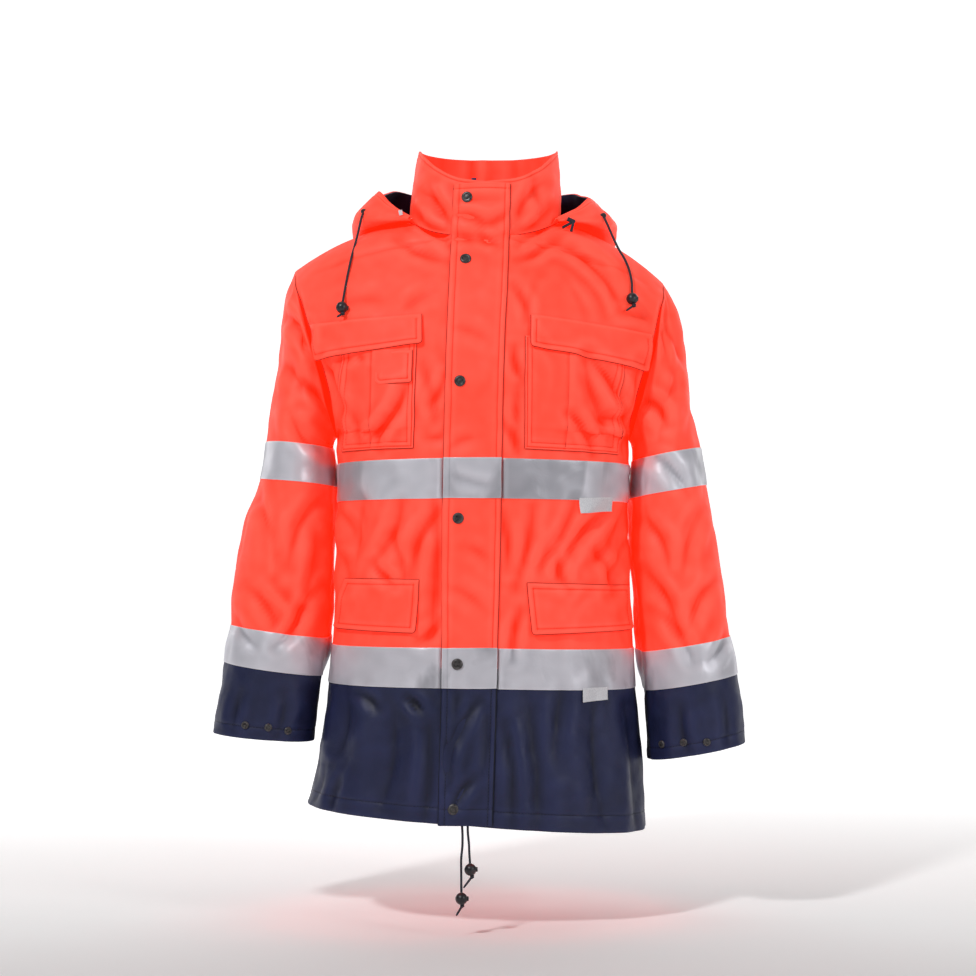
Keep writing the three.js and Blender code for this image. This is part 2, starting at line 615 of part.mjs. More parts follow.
// A patch on one surface, lying on the panel's own grid lines and moved out: `corners` are its lower
// left, lower right, upper right and upper left corners as fractional rows and columns.
function patch(name, material, entry, corners, from, to) {
  const [a, b, c, d] = corners;
  const part = (value, start, end) => (end === start ? 0 : (value - start) / (end - start));
  const jLow = (i) => lerp(a.j, d.j, part(i, a.i, d.i));
  const jHigh = (i) => lerp(b.j, c.j, part(i, b.i, c.i));
  const iLow = (j) => lerp(a.i, b.i, part(j, a.j, b.j));
  const iHigh = (j) => lerp(d.i, c.i, part(j, d.j, c.j));
  const ends = { low: { low: a, high: b }, high: { low: d, high: c } };
  const place = (row, col) => {
    if (typeof row === 'string' && typeof col === 'string') return ends[row][col];
    if (typeof row === 'string') return { i: row === 'low' ? iLow(col) : iHigh(col), j: col };
    if (typeof col === 'string') return { i: row, j: col === 'low' ? jLow(row) : jHigh(row) };
    return { i: row, j: col };
  };
  const rows = linesBetween([a.i, b.i], [c.i, d.i]);
  const cols = linesBetween([a.j, d.j], [b.j, c.j]);
  const grid = (height) =>
    rows.map((row) =>
      cols.map((col) => {
        const { i, j } = place(row, col);
        return lift(entry, i, j, height);
      }),
    );
  return slab(name, material, grid(to), grid(from), entry.facing);
}

// The same, with the corners as points of the front view. An edge that runs close to one grid line
// all the way lies on it.
const NEAR_LINE = 0.45;
function frontPatch(name, material, corners, from, wall) {
  const [{ entry }] = corners.map(([x, z]) => onFront(x, z));
  const spots = corners.map(([x, z]) => locate(entry, x, z, ALL_COLUMNS, BELOW_NECK));
  for (const [low, high] of [[0, 3], [1, 2]]) {
    const line = Math.round(spots[low].j);
    const isNear = [low, high].every((n) => Math.abs(spots[n].j - line) < NEAR_LINE);
    if (isNear) spots[low].j = spots[high].j = line;
  }
  return patch(name, material, entry, spots, from, from + wall);
}

const lastRow = ROWS.length - 1;
panel('front_right_upper', ORANGE, quadsOf(SURFACE.frontRight, SPLIT, lastRow));
panel('front_left_upper', ORANGE, quadsOf(SURFACE.frontLeft, SPLIT, lastRow));
panel('front_right_hem', NAVY, quadsOf(SURFACE.frontRight, 0, SPLIT));
panel('front_left_hem', NAVY, quadsOf(SURFACE.frontLeft, 0, SPLIT));
const backQuads = (from, to) => [...quadsOf(SURFACE.backRight, from, to), ...quadsOf(SURFACE.backLeft, from, to)];
panel('back_upper', ORANGE, backQuads(SPLIT, lastRow));
panel('back_hem', NAVY, backQuads(0, SPLIT));
for (const [side, entry] of [['right', SURFACE.sleeveRight], ['left', SURFACE.sleeveLeft]]) {
  panel(`sleeve_${side}`, ORANGE, quadsOf(entry, 0, CUFF_RING));
  panel(`cuff_${side}`, NAVY, quadsOf(entry, CUFF_RING));
}
panel('collar', ORANGE, quadsOf(SURFACE.collar));

// Storm flap: from its free edge on the wearer's right, over the zip, to its seam on the left.
const STORM_FLAP = columns(
  [
    { z: -764, right: -53, left: 13 },
    { z: -596, right: -49, left: 18 },
    { z: -400, right: -48, left: 23 },
    { z: -200, right: -44, left: 27 },
    { z: -60, right: -39, left: 33 },
    { z: 47, right: -34, left: 36 },
  ],
  'z',
  ['right', 'left'],
);

function stormFlapGrid(rowFrom, rowTo, height) {
  const grid = [];
  for (let i = rowFrom; i <= Math.min(rowTo, NECK); i += 1) {
    const z = ROWS[i];
    const right = locate(SURFACE.frontRight, STORM_FLAP.right(z), z, ALL_COLUMNS, [i, i]);
    const left = locate(SURFACE.frontLeft, STORM_FLAP.left(z), z, ALL_COLUMNS, [i, i]);
    grid.push([
      lift(SURFACE.frontRight, i, right.j, height),
      lift(SURFACE.frontRight, i, lerp(HALF, right.j, 0.8), height),
      lift(SURFACE.frontRight, i, HALF, height),
      lift(SURFACE.frontLeft, i, left.j, height),
    ]);
  }
  const lastColumn = COLLAR[0].length - 1;
  for (let k = 1; rowTo > NECK && k <= COLLAR_RINGS; k += 1) {
    const z = COLLAR[k][0].z;
    const right = locate(SURFACE.collar, STORM_FLAP.right(z), z, [0, 3], [k, k]);
    const left = locate(SURFACE.collar, STORM_FLAP.left(z), z, [lastColumn - 3, lastColumn], [k, k]);
    grid.push([
      lift(SURFACE.collar, k, right.j, height),
      lift(SURFACE.collar, k, Math.min(1, 0.8 * right.j), height),
      lift(SURFACE.collar, k, 0, height),
      lift(SURFACE.collar, k, left.j, height),
    ]);
  }
  return grid;
}

const STORM_TOP = STORM_FLAP_LIFT + STORM_FLAP_WALL;
function stormFlap(name, material, from, to, short = 0) {
  const layers = [STORM_TOP, STORM_FLAP_LIFT].map((height) => stormFlapGrid(from, to, height));
  for (const grid of layers) grid.at(-1).forEach((point) => point.setZ(point.z - short));
  slab(name, material, ...layers);
}

stormFlap('storm_flap_upper', ORANGE, SPLIT, NECK + 1);
stormFlap('storm_flap_lower', NAVY, 0, SPLIT, SEAM);

// Patches on the fronts, each with its corners in the front view: lower left, lower right, upper
// right, upper left. A flap lies over its pocket.
const POCKET_LIFT = 1.5;
const POCKET_LIFT_RIGHT = 1.1; // the right front is flatter there
const OVER_POCKET = POCKET_LIFT + PATCH_WALL + 0.8;
const FRONT_PATCHES = [
  { name: 'chest_pocket_right', corners: [[-174, -300], [-86, -299], [-80, -160], [-174, -158]] },
  { name: 'chest_pocket_left', corners: [[53, -300], [163, -304], [171, -164], [54, -160]] },
  { name: 'chest_flap_right', corners: [[-206, -182], [-73, -172], [-74, -134], [-213, -141]], over: true },
  { name: 'chest_flap_left', corners: [[60, -176], [207, -196], [212, -152], [61, -136]], over: true },
  { name: 'pen_flap', corners: [[-130, -219], [-85, -218], [-85, -184], [-131, -186]], over: true },
  { name: 'lower_flap_right', corners: [[-184, -524], [-79, -527], [-84, -464], [-180, -464]] },
  { name: 'lower_flap_left', corners: [[61, -530], [189, -526], [187, -470], [57, -468]] },
];
for (const { name, corners, over } of FRONT_PATCHES) {
  const isPocket = name.includes('pocket');
  const pocketLift = name.endsWith('right') ? POCKET_LIFT_RIGHT : POCKET_LIFT;
  const from = isPocket ? pocketLift : LAID;
  frontPatch(name, ORANGE, corners, over ? OVER_POCKET : from, isPocket ? PATCH_WALL : FLAP_WALL);
}

// Reflective tapes: round the chest and above the navy hem, and two round each sleeve.
const CHEST_TAPE = { low: ROWS.indexOf(-361), high: ROWS.indexOf(-311) };
const LOWER_TAPE = { low: ROWS.indexOf(-596), high: ROWS.indexOf(-546) };
const TAPE_END = 0.02; // how far, in columns, a tape stops short of a seam

function tape(name, entry, { low, high }, from, to) {
  const corner = (i, j) => ({ i, j: j ?? 0 });
  const corners = [corner(low, from.low), corner(low, to.low), corner(high, to.high), corner(high, from.high)];
  patch(name, SILVER, entry, corners, LAID, LAID + TAPE_WALL);
}

for (const [name, band] of [['chest_tape', CHEST_TAPE], ['lower_tape', LOWER_TAPE]]) {
  const across = (value) => ({ low: value, high: value });
  const edgeOf = (side, entry, by) => {
    const at = (row) => locate(entry, STORM_FLAP[side](ROWS[row]) + by, ROWS[row], ALL_COLUMNS, [row, row]).j;
    return { low: at(band.low), high: at(band.high) };
  };
  tape(`${name}_right`, SURFACE.frontRight, band, across(TAPE_END), edgeOf('right', SURFACE.frontRight, -SEAM));
  tape(`${name}_left`, SURFACE.frontLeft, band, edgeOf('left', SURFACE.frontLeft, SEAM), across(HALF - TAPE_END));
  const rows = [band.low, band.high];
  const over = (height) => stormFlapGrid(band.low, band.high, height);
  slab(`${name}_storm_flap`, SILVER, over(STORM_TOP + LAID + TAPE_WALL), over(STORM_TOP + LAID));
  const backRow = (row, height) => {
    const right = SURFACE.backRight.grid[row].map((_, j) => lift(SURFACE.backRight, row, j || TAPE_END, height));
    const left = SURFACE.backLeft.grid[row].map((_, j) => {
      return lift(SURFACE.backLeft, row, j === HALF ? HALF - TAPE_END : j, height);
    });
    return [...right, ...left.slice(1)];
  };
  const lines = rows[1] - rows[0] > 1 ? [rows[0], rows[0] + 1, rows[1]] : rows;
  const backGrid = (height) => lines.map((row) => backRow(row, height));
  slab(`${name}_back`, SILVER, backGrid(LAID + TAPE_WALL), backGrid(LAID), -1);
}

function sleeveTape(name, entry, from, to) {
  const rings = (height) =>
    entry.grid.slice(from, to + 1).map((ring, i) => ring.map((_, j) => lift(entry, from + i, j, height)));
  slab(name, SILVER, rings(LAID + TAPE_WALL), rings(LAID), entry.facing, true);
}

for (const [side, entry] of [['right', SURFACE.sleeveRight], ['left', SURFACE.sleeveLeft]]) {
  sleeveTape(`sleeve_tape_upper_${side}`, entry, UPPER_TAPE_RING, UPPER_TAPE_RING + 1);
  sleeveTape(`sleeve_tape_lower_${side}`, entry, LOWER_TAPE_RING, LOWER_TAPE_RING + 2);
}

// Two small bare tags sewn under the tapes on the wearer's left.
const OVER_TAPE = LAID + TAPE_WALL + LAID;
frontPatch('tag_chest', WHITE, [[120, -379], [161, -378], [161, -360], [120, -360]], OVER_TAPE, TAPE_WALL);
frontPatch('tag_hem', WHITE, [[123, -615], [156, -614], [156, -598], [123, -597]], OVER_TAPE, TAPE_WALL);

// Press studs: low domes that stand on the cloth along its normal.
function snap(name, place, normal, radius) {
  const rim = SNAP_HEIGHT * 0.45;
  const profile = [[0, 0], [radius, 0], [radius, rim], [radius * 0.7, SNAP_HEIGHT * 0.9], [0, SNAP_HEIGHT]];
  const geometry = new THREE.LatheGeometry(profile.map(([x, y]) => new THREE.Vector2(x, y)), 12);
  const mesh = new THREE.Mesh(geometry, BLACK);
  mesh.name = name;
  mesh.quaternion.setFromUnitVectors(vec(0, 1, 0), normal);
  mesh.position.copy(place);
  jacket.add(mesh);
}

const FRONT_SNAPS = [
  { x: -18, z: 19 },
  { x: -20, z: -62 },
  { x: -26.5, z: -217 },
  { x: -29, z: -386 },
  { x: -29.5, z: -566 },
  { x: -35, z: -744 },
];
const SNAP_LIFT = STORM_TOP + 2 * LAID;
FRONT_SNAPS.forEach(({ x, z }, n) => {
  const onCollar = z > NECK_FRONT;
  const entry = onCollar ? SURFACE.collar : SURFACE.frontRight;
  const spot = onCollar
    ? locate(entry, x, z, [0, 2], [0, COLLAR_RINGS])
    : locate(entry, x, z, ALL_COLUMNS, BELOW_NECK);
  const onTape = ROWS[LOWER_TAPE.low] < z && z < ROWS[LOWER_TAPE.high];
  const height = onTape ? SNAP_LIFT + LAID + TAPE_WALL : SNAP_LIFT;
  const place = lift(entry, spot.i, spot.j, height);
  const normal = place.clone().sub(lift(entry, spot.i, spot.j, 0)).normalize();
  snap(`snap_front_${n + 1}`, place, normal, SNAP_RADIUS);
});

const CUFF_SNAPS = {
  right: [{ x: -300, z: -647 }, { x: -271, z: -650 }, { x: -246, z: -654 }],
  left: [{ x: 230, z: -673 }, { x: 256, z: -669 }, { x: 285, z: -668 }],
};
for (const [side, entry] of [['right', SURFACE.sleeveRight], ['left', SURFACE.sleeveLeft]]) {
  CUFF_SNAPS[side].forEach(({ x, z }, n) => {
    const spot = locate(entry, x, z, [0, entry.grid[0].length / 2], [CUFF_RING, entry.grid.length - 1]);
    const place = lift(entry, spot.i, spot.j, LAID);
    const normal = place.clone().sub(lift(entry, spot.i, spot.j, 0)).normalize();
    snap(`snap_cuff_${side}_${n + 1}`, place, normal, CUFF_SNAP_RADIUS);
  });
}

// Hood, folded down behind the collar as a pouch that is open at the top. Each row is a section
// through it at an angle round the neck, 0 at the centre back and positive to the wearer's left:
// the inner wall lies over the back, then comes the fold, the outer wall and the free rim.
const HOOD = columns(
  [
    { turn: 0, rIn: 150, zIn: -58, rFold: 178, zFold: -205, rOut: 214, zOut: -112, rRim: 168, zRim: 52 },
    { turn: 30, rIn: 157, zIn: -32, rFold: 191, zFold: -182, rOut: 218, zOut: -98, rRim: 168, zRim: 60 },
    { turn: 42, rIn: 156, zIn: -12, rFold: 204, zFold: -130, rOut: 222, zOut: -68, rRim: 164, zRim: 64 },
    { turn: 55, rIn: 148, zIn: 0, rFold: 196, zFold: -58, rOut: 208, zOut: -24, rRim: 156, zRim: 58 },
    { turn: 66, rIn: 141, zIn: 6, rFold: 182, zFold: -14, rOut: 190, zOut: 4, rRim: 149, zRim: 50 },
    { turn: 80, rIn: 132, zIn: 8, rFold: 168, zFold: -4, rOut: 174, zOut: 12, rRim: 142, zRim: 44 },
    { turn: 98, rIn: 122, zIn: 6, rFold: 150, zFold: -6, rOut: 156, zOut: 9, rRim: 131, zRim: 38 },
    { turn: 110, rIn: 112, zIn: 4, rFold: 128, zFold: -3, rOut: 131, zOut: 5, rRim: 118, zRim: 11 },
    { turn: 118, rIn: 104, zIn: 1, rFold: 108, zFold: -2, rOut: 110, zOut: 1, rRim: 106, zRim: 2 },
  ],
  'turn',
  ['rIn', 'zIn', 'rFold', 'zFold', 'rOut', 'zOut', 'rRim', 'zRim'],
);
const HOOD_REACH = 118; // degrees from the centre back to each front end
const HOOD_SECTIONS = 20;
const HOOD_POINTS = 9;
const HOOD_SEAM_OUT = 3; // from the collar's foot to the hood's neck seam
const HOOD_SEAM_UP = 4;
const HOOD_LEFT_DROP = 8; // the rim lies lower on the wearer's left

// Distance of the neck seam from the neck's centre, and its height, at an angle from the centre back.
function neckSeam(turn) {
  const ring = COLLAR[0];
  const bearing = (point) => {
    return THREE.MathUtils.radToDeg(Math.atan2(point.x - NECK_CENTRE.x, point.y - NECK_CENTRE.y));
  };
  for (let n = 1; n < ring.length - 2; n += 1) {
    const [a, b] = [bearing(ring[n]), bearing(ring[n + 1])];
    if (turn < a || turn > b) continue;
    const point = ring[n].clone().lerp(ring[n + 1], (turn - a) / (b - a));
    return { r: Math.hypot(point.x - NECK_CENTRE.x, point.y - NECK_CENTRE.y), z: point.z };
  }
  return { r: 96, z: -8 };
}

function hoodGrid() {
  const grid = [];
  for (let n = 0; n <= HOOD_SECTIONS; n += 1) {
    const turn = lerp(-HOOD_REACH, HOOD_REACH, n / HOOD_SECTIONS);
    const bend = Math.abs(turn);
    const seam = neckSeam(turn);
    const drop = turn > 0 ? HOOD_LEFT_DROP * THREE.MathUtils.smoothstep(turn, 20, 80) : 0;
    const section = new THREE.CatmullRomCurve3(
      [
        vec(seam.r + HOOD_SEAM_OUT, 0, seam.z + HOOD_SEAM_UP),
        vec(HOOD.rIn(bend), 0, HOOD.zIn(bend)),
        vec(HOOD.rFold(bend), 0, HOOD.zFold(bend)),
        vec(HOOD.rOut(bend), 0, HOOD.zOut(bend) - drop / 2),
        vec(HOOD.rRim(bend), 0, HOOD.zRim(bend) - drop * Math.min(1, HOOD.zRim(bend) / 30)),
      ],
      false,
      'centripetal',
    );
    const radians = THREE.MathUtils.degToRad(turn);
    grid.push(
      section.getSpacedPoints(HOOD_POINTS - 1).map(({ x: r, z }) => {
        return vec(NECK_CENTRE.x + r * Math.sin(radians), NECK_CENTRE.y + r * Math.cos(radians), z);
      }),
    );
  }
  return grid;
}

// Normals of a grid that stands alone, from its own neighbours.
function ownNormals(grid) {
  return grid.map((row, i) =>
    row.map((_, j) => {
      const along = grid[Math.min(i + 1, grid.length - 1)][j].clone().sub(grid[Math.max(i - 1, 0)][j]);
      const across = row[Math.min(j + 1, row.length - 1)].clone().sub(row[Math.max(j - 1, 0)]);
      return across.cross(along).normalize();
    }),
  );
}

const HOOD_GRID = hoodGrid();
const HOOD_NORMALS = ownNormals(HOOD_GRID);
const hoodLayer = (height) =>
  HOOD_GRID.map((row, i) => row.map((point, j) => point.clone().addScaledVector(HOOD_NORMALS[i][j], height)));
const liningLayer = (height) => hoodLayer(height).slice(1, -1); // it stops short of the shell's front ends
slab('hood_shell', ORANGE, hoodLayer(HOOD_WALL), hoodLayer(0));
const HOOD_GAP = 0.6; // between the hood's two layers
slab('hood_lining', NAVY, liningLayer(-HOOD_GAP), liningLayer(-HOOD_GAP - HOOD_WALL));

// Drawcords: their free ends hang from eyelets on the hood's ends and from the hem's casing.
function cord(name, route) {
  const octagon = new THREE.Shape();
  for (let n = 0; n < 8; n += 1) {
    const angle = (2 * Math.PI * n) / 8;
    const [x, y] = [CORD_RADIUS * Math.cos(angle), CORD_RADIUS * Math.sin(angle)];
    if (n === 0) octagon.moveTo(x, y);
    else octagon.lineTo(x, y);
  }
  octagon.closePath();
  const path = new THREE.CatmullRomCurve3(route.map((point) => vec(...point)));
  const steps = Math.max(4, Math.round(path.getLength() / (CORD_RADIUS * 6)));
  const geometry = new THREE.ExtrudeGeometry(octagon, { steps, extrudePath: path, bevelEnabled: false });
  const mesh = new THREE.Mesh(geometry, BLACK);
  mesh.name = name;
  jacket.add(mesh);
}

// A ball stopper just beyond the end of a cord's hanging stretch.
function stopper(name, route) {
  const [before, end] = route.slice(-2).map((point) => vec(...point));
  const mesh = new THREE.Mesh(new THREE.SphereGeometry(STOPPER_RADIUS, 12, 8), BLACK);
  mesh.name = name;
  mesh.position.copy(end).addScaledVector(end.clone().sub(before).normalize(), STOPPER_RADIUS + SEAM);
  jacket.add(mesh);
}

const CORDS = {
  hood_right: [[-153, -27, 14], [-155, -34, 8], [-157, -42, -3], [-159, -53, -17], [-162, -65.5, -34],
    [-166, -84.5, -56], [-170, -95.5, -80], [-172.5, -105, -98], [-174.5, -112, -113.5]],
  hood_left: [[157, -31, 8], [159, -37, 3], [163, -42, -7], [169, -46, -22], [176, -51, -38],
    [183, -60, -52], [188, -70, -67], [190.5, -82, -84], [190.3, -89.5, -93], [190, -96, -101.5]],
  hem_right: [[-24, -169.3, -764.4], [-23.5, -169.8, -773], [-23.5, -171, -788], [-25, -172, -804],
    [-25, -172, -820], [-24.8, -172, -845.2]],
  hem_left: [[-17, -169.3, -764.4], [-16.8, -169.8, -773], [-15.5, -171, -786], [-15, -172, -797],
    [-14.2, -172, -809.6]],
};
for (const [name, route] of Object.entries(CORDS)) {
  cord(`cord_${name}`, route);
  stopper(`stopper_${name}`, route);
}

export default jacket;
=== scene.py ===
"""Looks of a hi-vis work jacket, filled out as worn: each cloth piece is a fine thin shell on its
solid's form, with the photograph's folds, seams and stitching.

Lengths are in millimetres until a mesh is made. +Z is up, the front faces -Y and the wearer's right
is -X. A torso point is named by its row (the height at the centre front) and by t, from 0 at the
centre to 1 at the side seam or armhole.
"""

import math

import bpy
import numpy as np
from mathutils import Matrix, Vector, noise


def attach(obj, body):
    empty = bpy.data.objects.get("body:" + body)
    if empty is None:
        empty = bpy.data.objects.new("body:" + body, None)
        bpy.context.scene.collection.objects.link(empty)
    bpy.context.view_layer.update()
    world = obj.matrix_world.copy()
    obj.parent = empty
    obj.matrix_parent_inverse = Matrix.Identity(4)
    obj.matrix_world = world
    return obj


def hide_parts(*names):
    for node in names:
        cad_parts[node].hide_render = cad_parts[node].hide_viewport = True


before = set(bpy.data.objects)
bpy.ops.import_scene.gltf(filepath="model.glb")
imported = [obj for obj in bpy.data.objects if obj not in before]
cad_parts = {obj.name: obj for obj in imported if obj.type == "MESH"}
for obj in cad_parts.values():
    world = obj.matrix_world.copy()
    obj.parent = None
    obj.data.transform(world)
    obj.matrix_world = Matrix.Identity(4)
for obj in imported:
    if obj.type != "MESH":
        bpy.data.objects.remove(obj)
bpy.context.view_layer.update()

MM = 0.001
SHELL = 1.6  # wall of the jacket's shell
LAID = 0.35  # gap between a panel and what lies on it
TAPE_WALL = 0.8
PATCH_WALL = 1.4
FLAP_WALL = 1.8
STORM_FLAP_WALL = 2.2
STORM_FLAP_LIFT = 1.0
SNAP_RADIUS = 7.0
CUFF_SNAP_RADIUS = 5.0
CORD_RADIUS = 1.5
STOPPER_RADIUS = 7.5
HOOD_WALL = 1.2
HOOD_GAP = 0.6
HEM, SPLIT, UNDERARM, NECK_FRONT, SHOULDER = -764, -571, -275, -30, 30  # named rows

scene = bpy.context.scene
scene.view_settings.view_transform = "Standard"

# Camera: level, in front of the jacket, as far off as the photograph was taken.
CAMERA = (0.0079, -2.7, -0.4375)
LENS = 76
HORIZON_ABOVE_MIDDLE = -72 / 976  # how far the horizon lies below the picture's middle
camera = bpy.data.objects.new("camera", bpy.data.cameras.new("camera"))
camera.data.lens = LENS
camera.data.shift_y = -HORIZON_ABOVE_MIDDLE
camera.location = CAMERA
camera.rotation_euler = (math.pi / 2, 0, 0)
scene.collection.objects.link(camera)
scene.camera = camera


def nodes_of(name):
    material = bpy.data.materials.new(name)
    material.use_nodes = True
    tree = material.node_tree
    return material, tree, tree.nodes["Principled BSDF"]


def noise_node(tree, scale, detail=3.0, distortion=0.0, stretch=(1, 1, 1)):
    """Noise over the object's own coordinates, in metres."""
    place = tree.nodes.new("ShaderNodeTexCoord")
    mapping = tree.nodes.new("ShaderNodeMapping")
    mapping.inputs["Scale"].default_value = stretch
    texture = tree.nodes.new("ShaderNodeTexNoise")
    texture.inputs["Scale"].default_value = scale
    texture.inputs["Detail"].default_value = detail
    texture.inputs["Distortion"].default_value = distortion
    tree.links.new(place.outputs["Object"], mapping.inputs["Vector"])
    tree.links.new(mapping.outputs["Vector"], texture.inputs["Vector"])
    return texture


def creases_node(tree, scale):
    """Noise whose heights meet in sharp lines, as the creases of stiff coated cloth do."""
    texture = noise_node(tree, scale, 2, 0.3, stretch=(1, 1, 0.75))
    texture.noise_type = "RIDGED_MULTIFRACTAL"
    return texture


def bump(tree, bsdf, layers):
    """Bumps in turn, each (texture, strength, distance in mm)."""
    last = None
    for texture, strength, distance in layers:
        node = tree.nodes.new("ShaderNodeBump")
        node.inputs["Strength"].default_value = strength
        node.inputs["Distance"].default_value = distance * MM
        tree.links.new(texture.outputs["Fac"], node.inputs["Height"])
        if last:
            tree.links.new(last.outputs["Normal"], node.inputs["Normal"])
        last = node
    tree.links.new(last.outputs["Normal"], bsdf.inputs["Normal"])


def colour_ramp(tree, low, high, start, end):
    ramp = tree.nodes.new("ShaderNodeValToRGB")
    ramp.color_ramp.elements[0].position = start
    ramp.color_ramp.elements[0].color = (*low, 1)
    ramp.color_ramp.elements[1].position = end
    ramp.color_ramp.elements[1].color = (*high, 1)
    return ramp


def tint(tree, bsdf, texture, low, high, start=0.35, end=0.65, trough_shade=None, crest_highlight=None):
    """Colour by a texture; where given, a painted shade multiplies it where the surface bends in, in its
    creases and hollows, and a painted highlight where it bends out, on its ridges and edges.
    """
    ramp = colour_ramp(tree, low, high, start, end)
    tree.links.new(texture.outputs["Fac"], ramp.inputs["Fac"])
    colour = ramp.outputs["Color"]
    if trough_shade:
        # Painted shade and highlight: the surface's bending (pointiness) darkens its hollows and lightens its
        # ridges.
        bend = tree.nodes.new("ShaderNodeNewGeometry")
        crease_light = colour_ramp(tree, trough_shade, crest_highlight, 0.455, 0.52)
        mix = tree.nodes.new("ShaderNodeMix")
        mix.data_type = "RGBA"
        mix.blend_type = "MULTIPLY"
        mix.inputs["Factor"].default_value = 1.0
        tree.links.new(bend.outputs["Pointiness"], crease_light.inputs["Fac"])
        tree.links.new(colour, mix.inputs["A"])
        tree.links.new(crease_light.outputs["Color"], mix.inputs["B"])
        colour = mix.outputs["Result"]
    tree.links.new(colour, bsdf.inputs["Base Color"])


def map_range(tree, source, *limits):
    """A value moved from one range to another: the first low and high, then the second."""
    spread = tree.nodes.new("ShaderNodeMapRange")
    for socket, value in zip(("From Min", "From Max", "To Min", "To Max"), limits):
        spread.inputs[socket].default_value = value
    tree.links.new(source, spread.inputs["Value"])
    return spread.outputs["Result"]


WOVEN = (1, 1, 0.6)


def look(name, noises, tinted, rough, bumps, values=()):
    """A material from named noises: what tints it, its roughness, its bumps (a noise's name, or the
    scale of its creases, then strength and distance) and constant values of its shader."""
    material, tree, bsdf = nodes_of(name)
    textures = {key: noise_node(tree, *numbers) for key, numbers in noises.items()}
    tint(tree, bsdf, textures[tinted[0]], *tinted[1:])
    if isinstance(rough, tuple):
        varied = map_range(tree, textures[rough[0]].outputs["Fac"], 0.3, 0.7, *rough[1:])
        tree.links.new(varied, bsdf.inputs["Roughness"])
    else:
        bsdf.inputs["Roughness"].default_value = rough
    for socket, value in values:
        bsdf.inputs[socket].default_value = value
    layers = []
    for source, strength, distance in bumps:
        texture = textures[source] if isinstance(source, str) else creases_node(tree, source)
        layers.append((texture, strength, distance))
    bump(tree, bsdf, layers)
    return material


# The look of the stitches, and also of the painted shadow lines.
def thread_and_shadow_line_look(name, low, high):
    return look(name, {"twist": (1800, 2)}, ("twist", low, high), 0.6, [("twist", 0.4, 0.1)])


ORANGE = look(
    "orange_cloth",
    {"weave": (1400, 1, 0, WOVEN), "crumple": (38, 4, 0.6), "patches": (9, 3)},
    # Painted shade and highlight: the last two colours turn the creases a deeper red and the ridges paler.
    ("patches", (0.86, 0.104, 0.068), (0.86, 0.126, 0.088), 0.35, 0.65, (0.90, 0.12, 0.02), (1.0, 1.06, 1.1)),
    ("crumple", 0.55, 0.72),
    [(11, 0.5, 4.0), (30, 0.5, 1.8), ("crumple", 0.3, 1.6), ("weave", 0.25, 0.25)],
    # The red glow is painted light: a constant emission that keeps the orange bright red in its shade,
    # standing in for the cloth's fluorescence.
    [("Emission Color", (1.0, 0.03, 0.005, 1)), ("Emission Strength", 0.5), ("Specular IOR Level", 0.3)],
)
NAVY = look(
    "navy_cloth",
    {"weave": (1400, 1, 0, WOVEN), "crumple": (42, 4, 0.8), "patches": (12, 3)},
    # Painted shade and highlight: the last two colours darken the creases and make the ridges shine.
    ("patches", (0.0095, 0.0130, 0.046), (0.0145, 0.0185, 0.062), 0.35, 0.65,
     (0.35, 0.35, 0.4), (1.5, 1.5, 1.5)),
    ("crumple", 0.46, 0.62),
    [(13, 0.6, 5.0), (34, 0.6, 2.4), ("crumple", 0.4, 2.0), ("weave", 0.25, 0.25)],
    [("Specular IOR Level", 0.4)],
)
SILVER = look(
    "reflective_tape",
    # Painted reflection: the tape's pale and grey streaks stand for the changing sheen of its crinkled face.
    {"beads": (2200, 1), "crumple": (26, 4, 0.9), "streaks": (10, 4, 0.6, WOVEN)},
    # Painted shade and highlight: the last two colours darken its creases and lighten its ridges.
    ("streaks", (0.44, 0.435, 0.48), (0.68, 0.67, 0.73), 0.40, 0.50, (0.6, 0.6, 0.62), (1.1, 1.1, 1.1)),
    ("crumple", 0.34, 0.5),
    [(14, 0.5, 4.0), ("crumple", 0.4, 2.0), ("beads", 0.3, 0.15)],
    [("Metallic", 0.2)],
)
WHITE = look(
    "tag_cloth", {"weave": (1600, 1, 0, (1, 1, 0.4))},
    ("weave", (0.62, 0.62, 0.66), (0.78, 0.78, 0.81)), 0.7, [("weave", 0.5, 0.3)],
)
BLACK = look(
    "black_plastic", {"grain": (900, 2), "scuffs": (160, 3)},
    ("scuffs", (0.010, 0.010, 0.013), (0.030, 0.029, 0.034)), ("scuffs", 0.28, 0.45), [("grain", 0.2, 0.1)],
)
CORD = look(
    "black_cord", {"braid": (1500, 2, 0, (1, 1, 0.35))},
    ("braid", (0.008, 0.009, 0.016), (0.035, 0.037, 0.055)), 0.75, [("braid", 0.8, 0.5)],
)
STUD = look(
    "stud_metal", {"wear": (300, 3)},
    # Painted shade and highlight: the last two colours darken the cap's dish and lighten its rolled rim.
    ("wear", (0.030, 0.027, 0.028), (0.075, 0.070, 0.070), 0.35, 0.65, (0.3, 0.3, 0.3), (1.5, 1.5, 1.5)),
    ("wear", 0.25, 0.42), [("wear", 0.2, 0.1)], [("Metallic", 0.3)],
)
ORANGE_THREAD = thread_and_shadow_line_look("orange_thread", (0.50, 0.014, 0.006), (0.72, 0.03, 0.014))
NAVY_THREAD = thread_and_shadow_line_look("navy_thread", (0.010, 0.012, 0.04), (0.03, 0.035, 0.09))
# Painted shadow: dark colours for the lines laid where edges and seams cast shade.
ORANGE_SHADOW_LINE = thread_and_shadow_line_look("orange_shadow_line", (0.30, 0.006, 0.002), (0.42, 0.010, 0.004))
NAVY_SHADOW_LINE = thread_and_shadow_line_look("navy_shadow_line", (0.002, 0.0025, 0.006), (0.004, 0.005, 0.012))


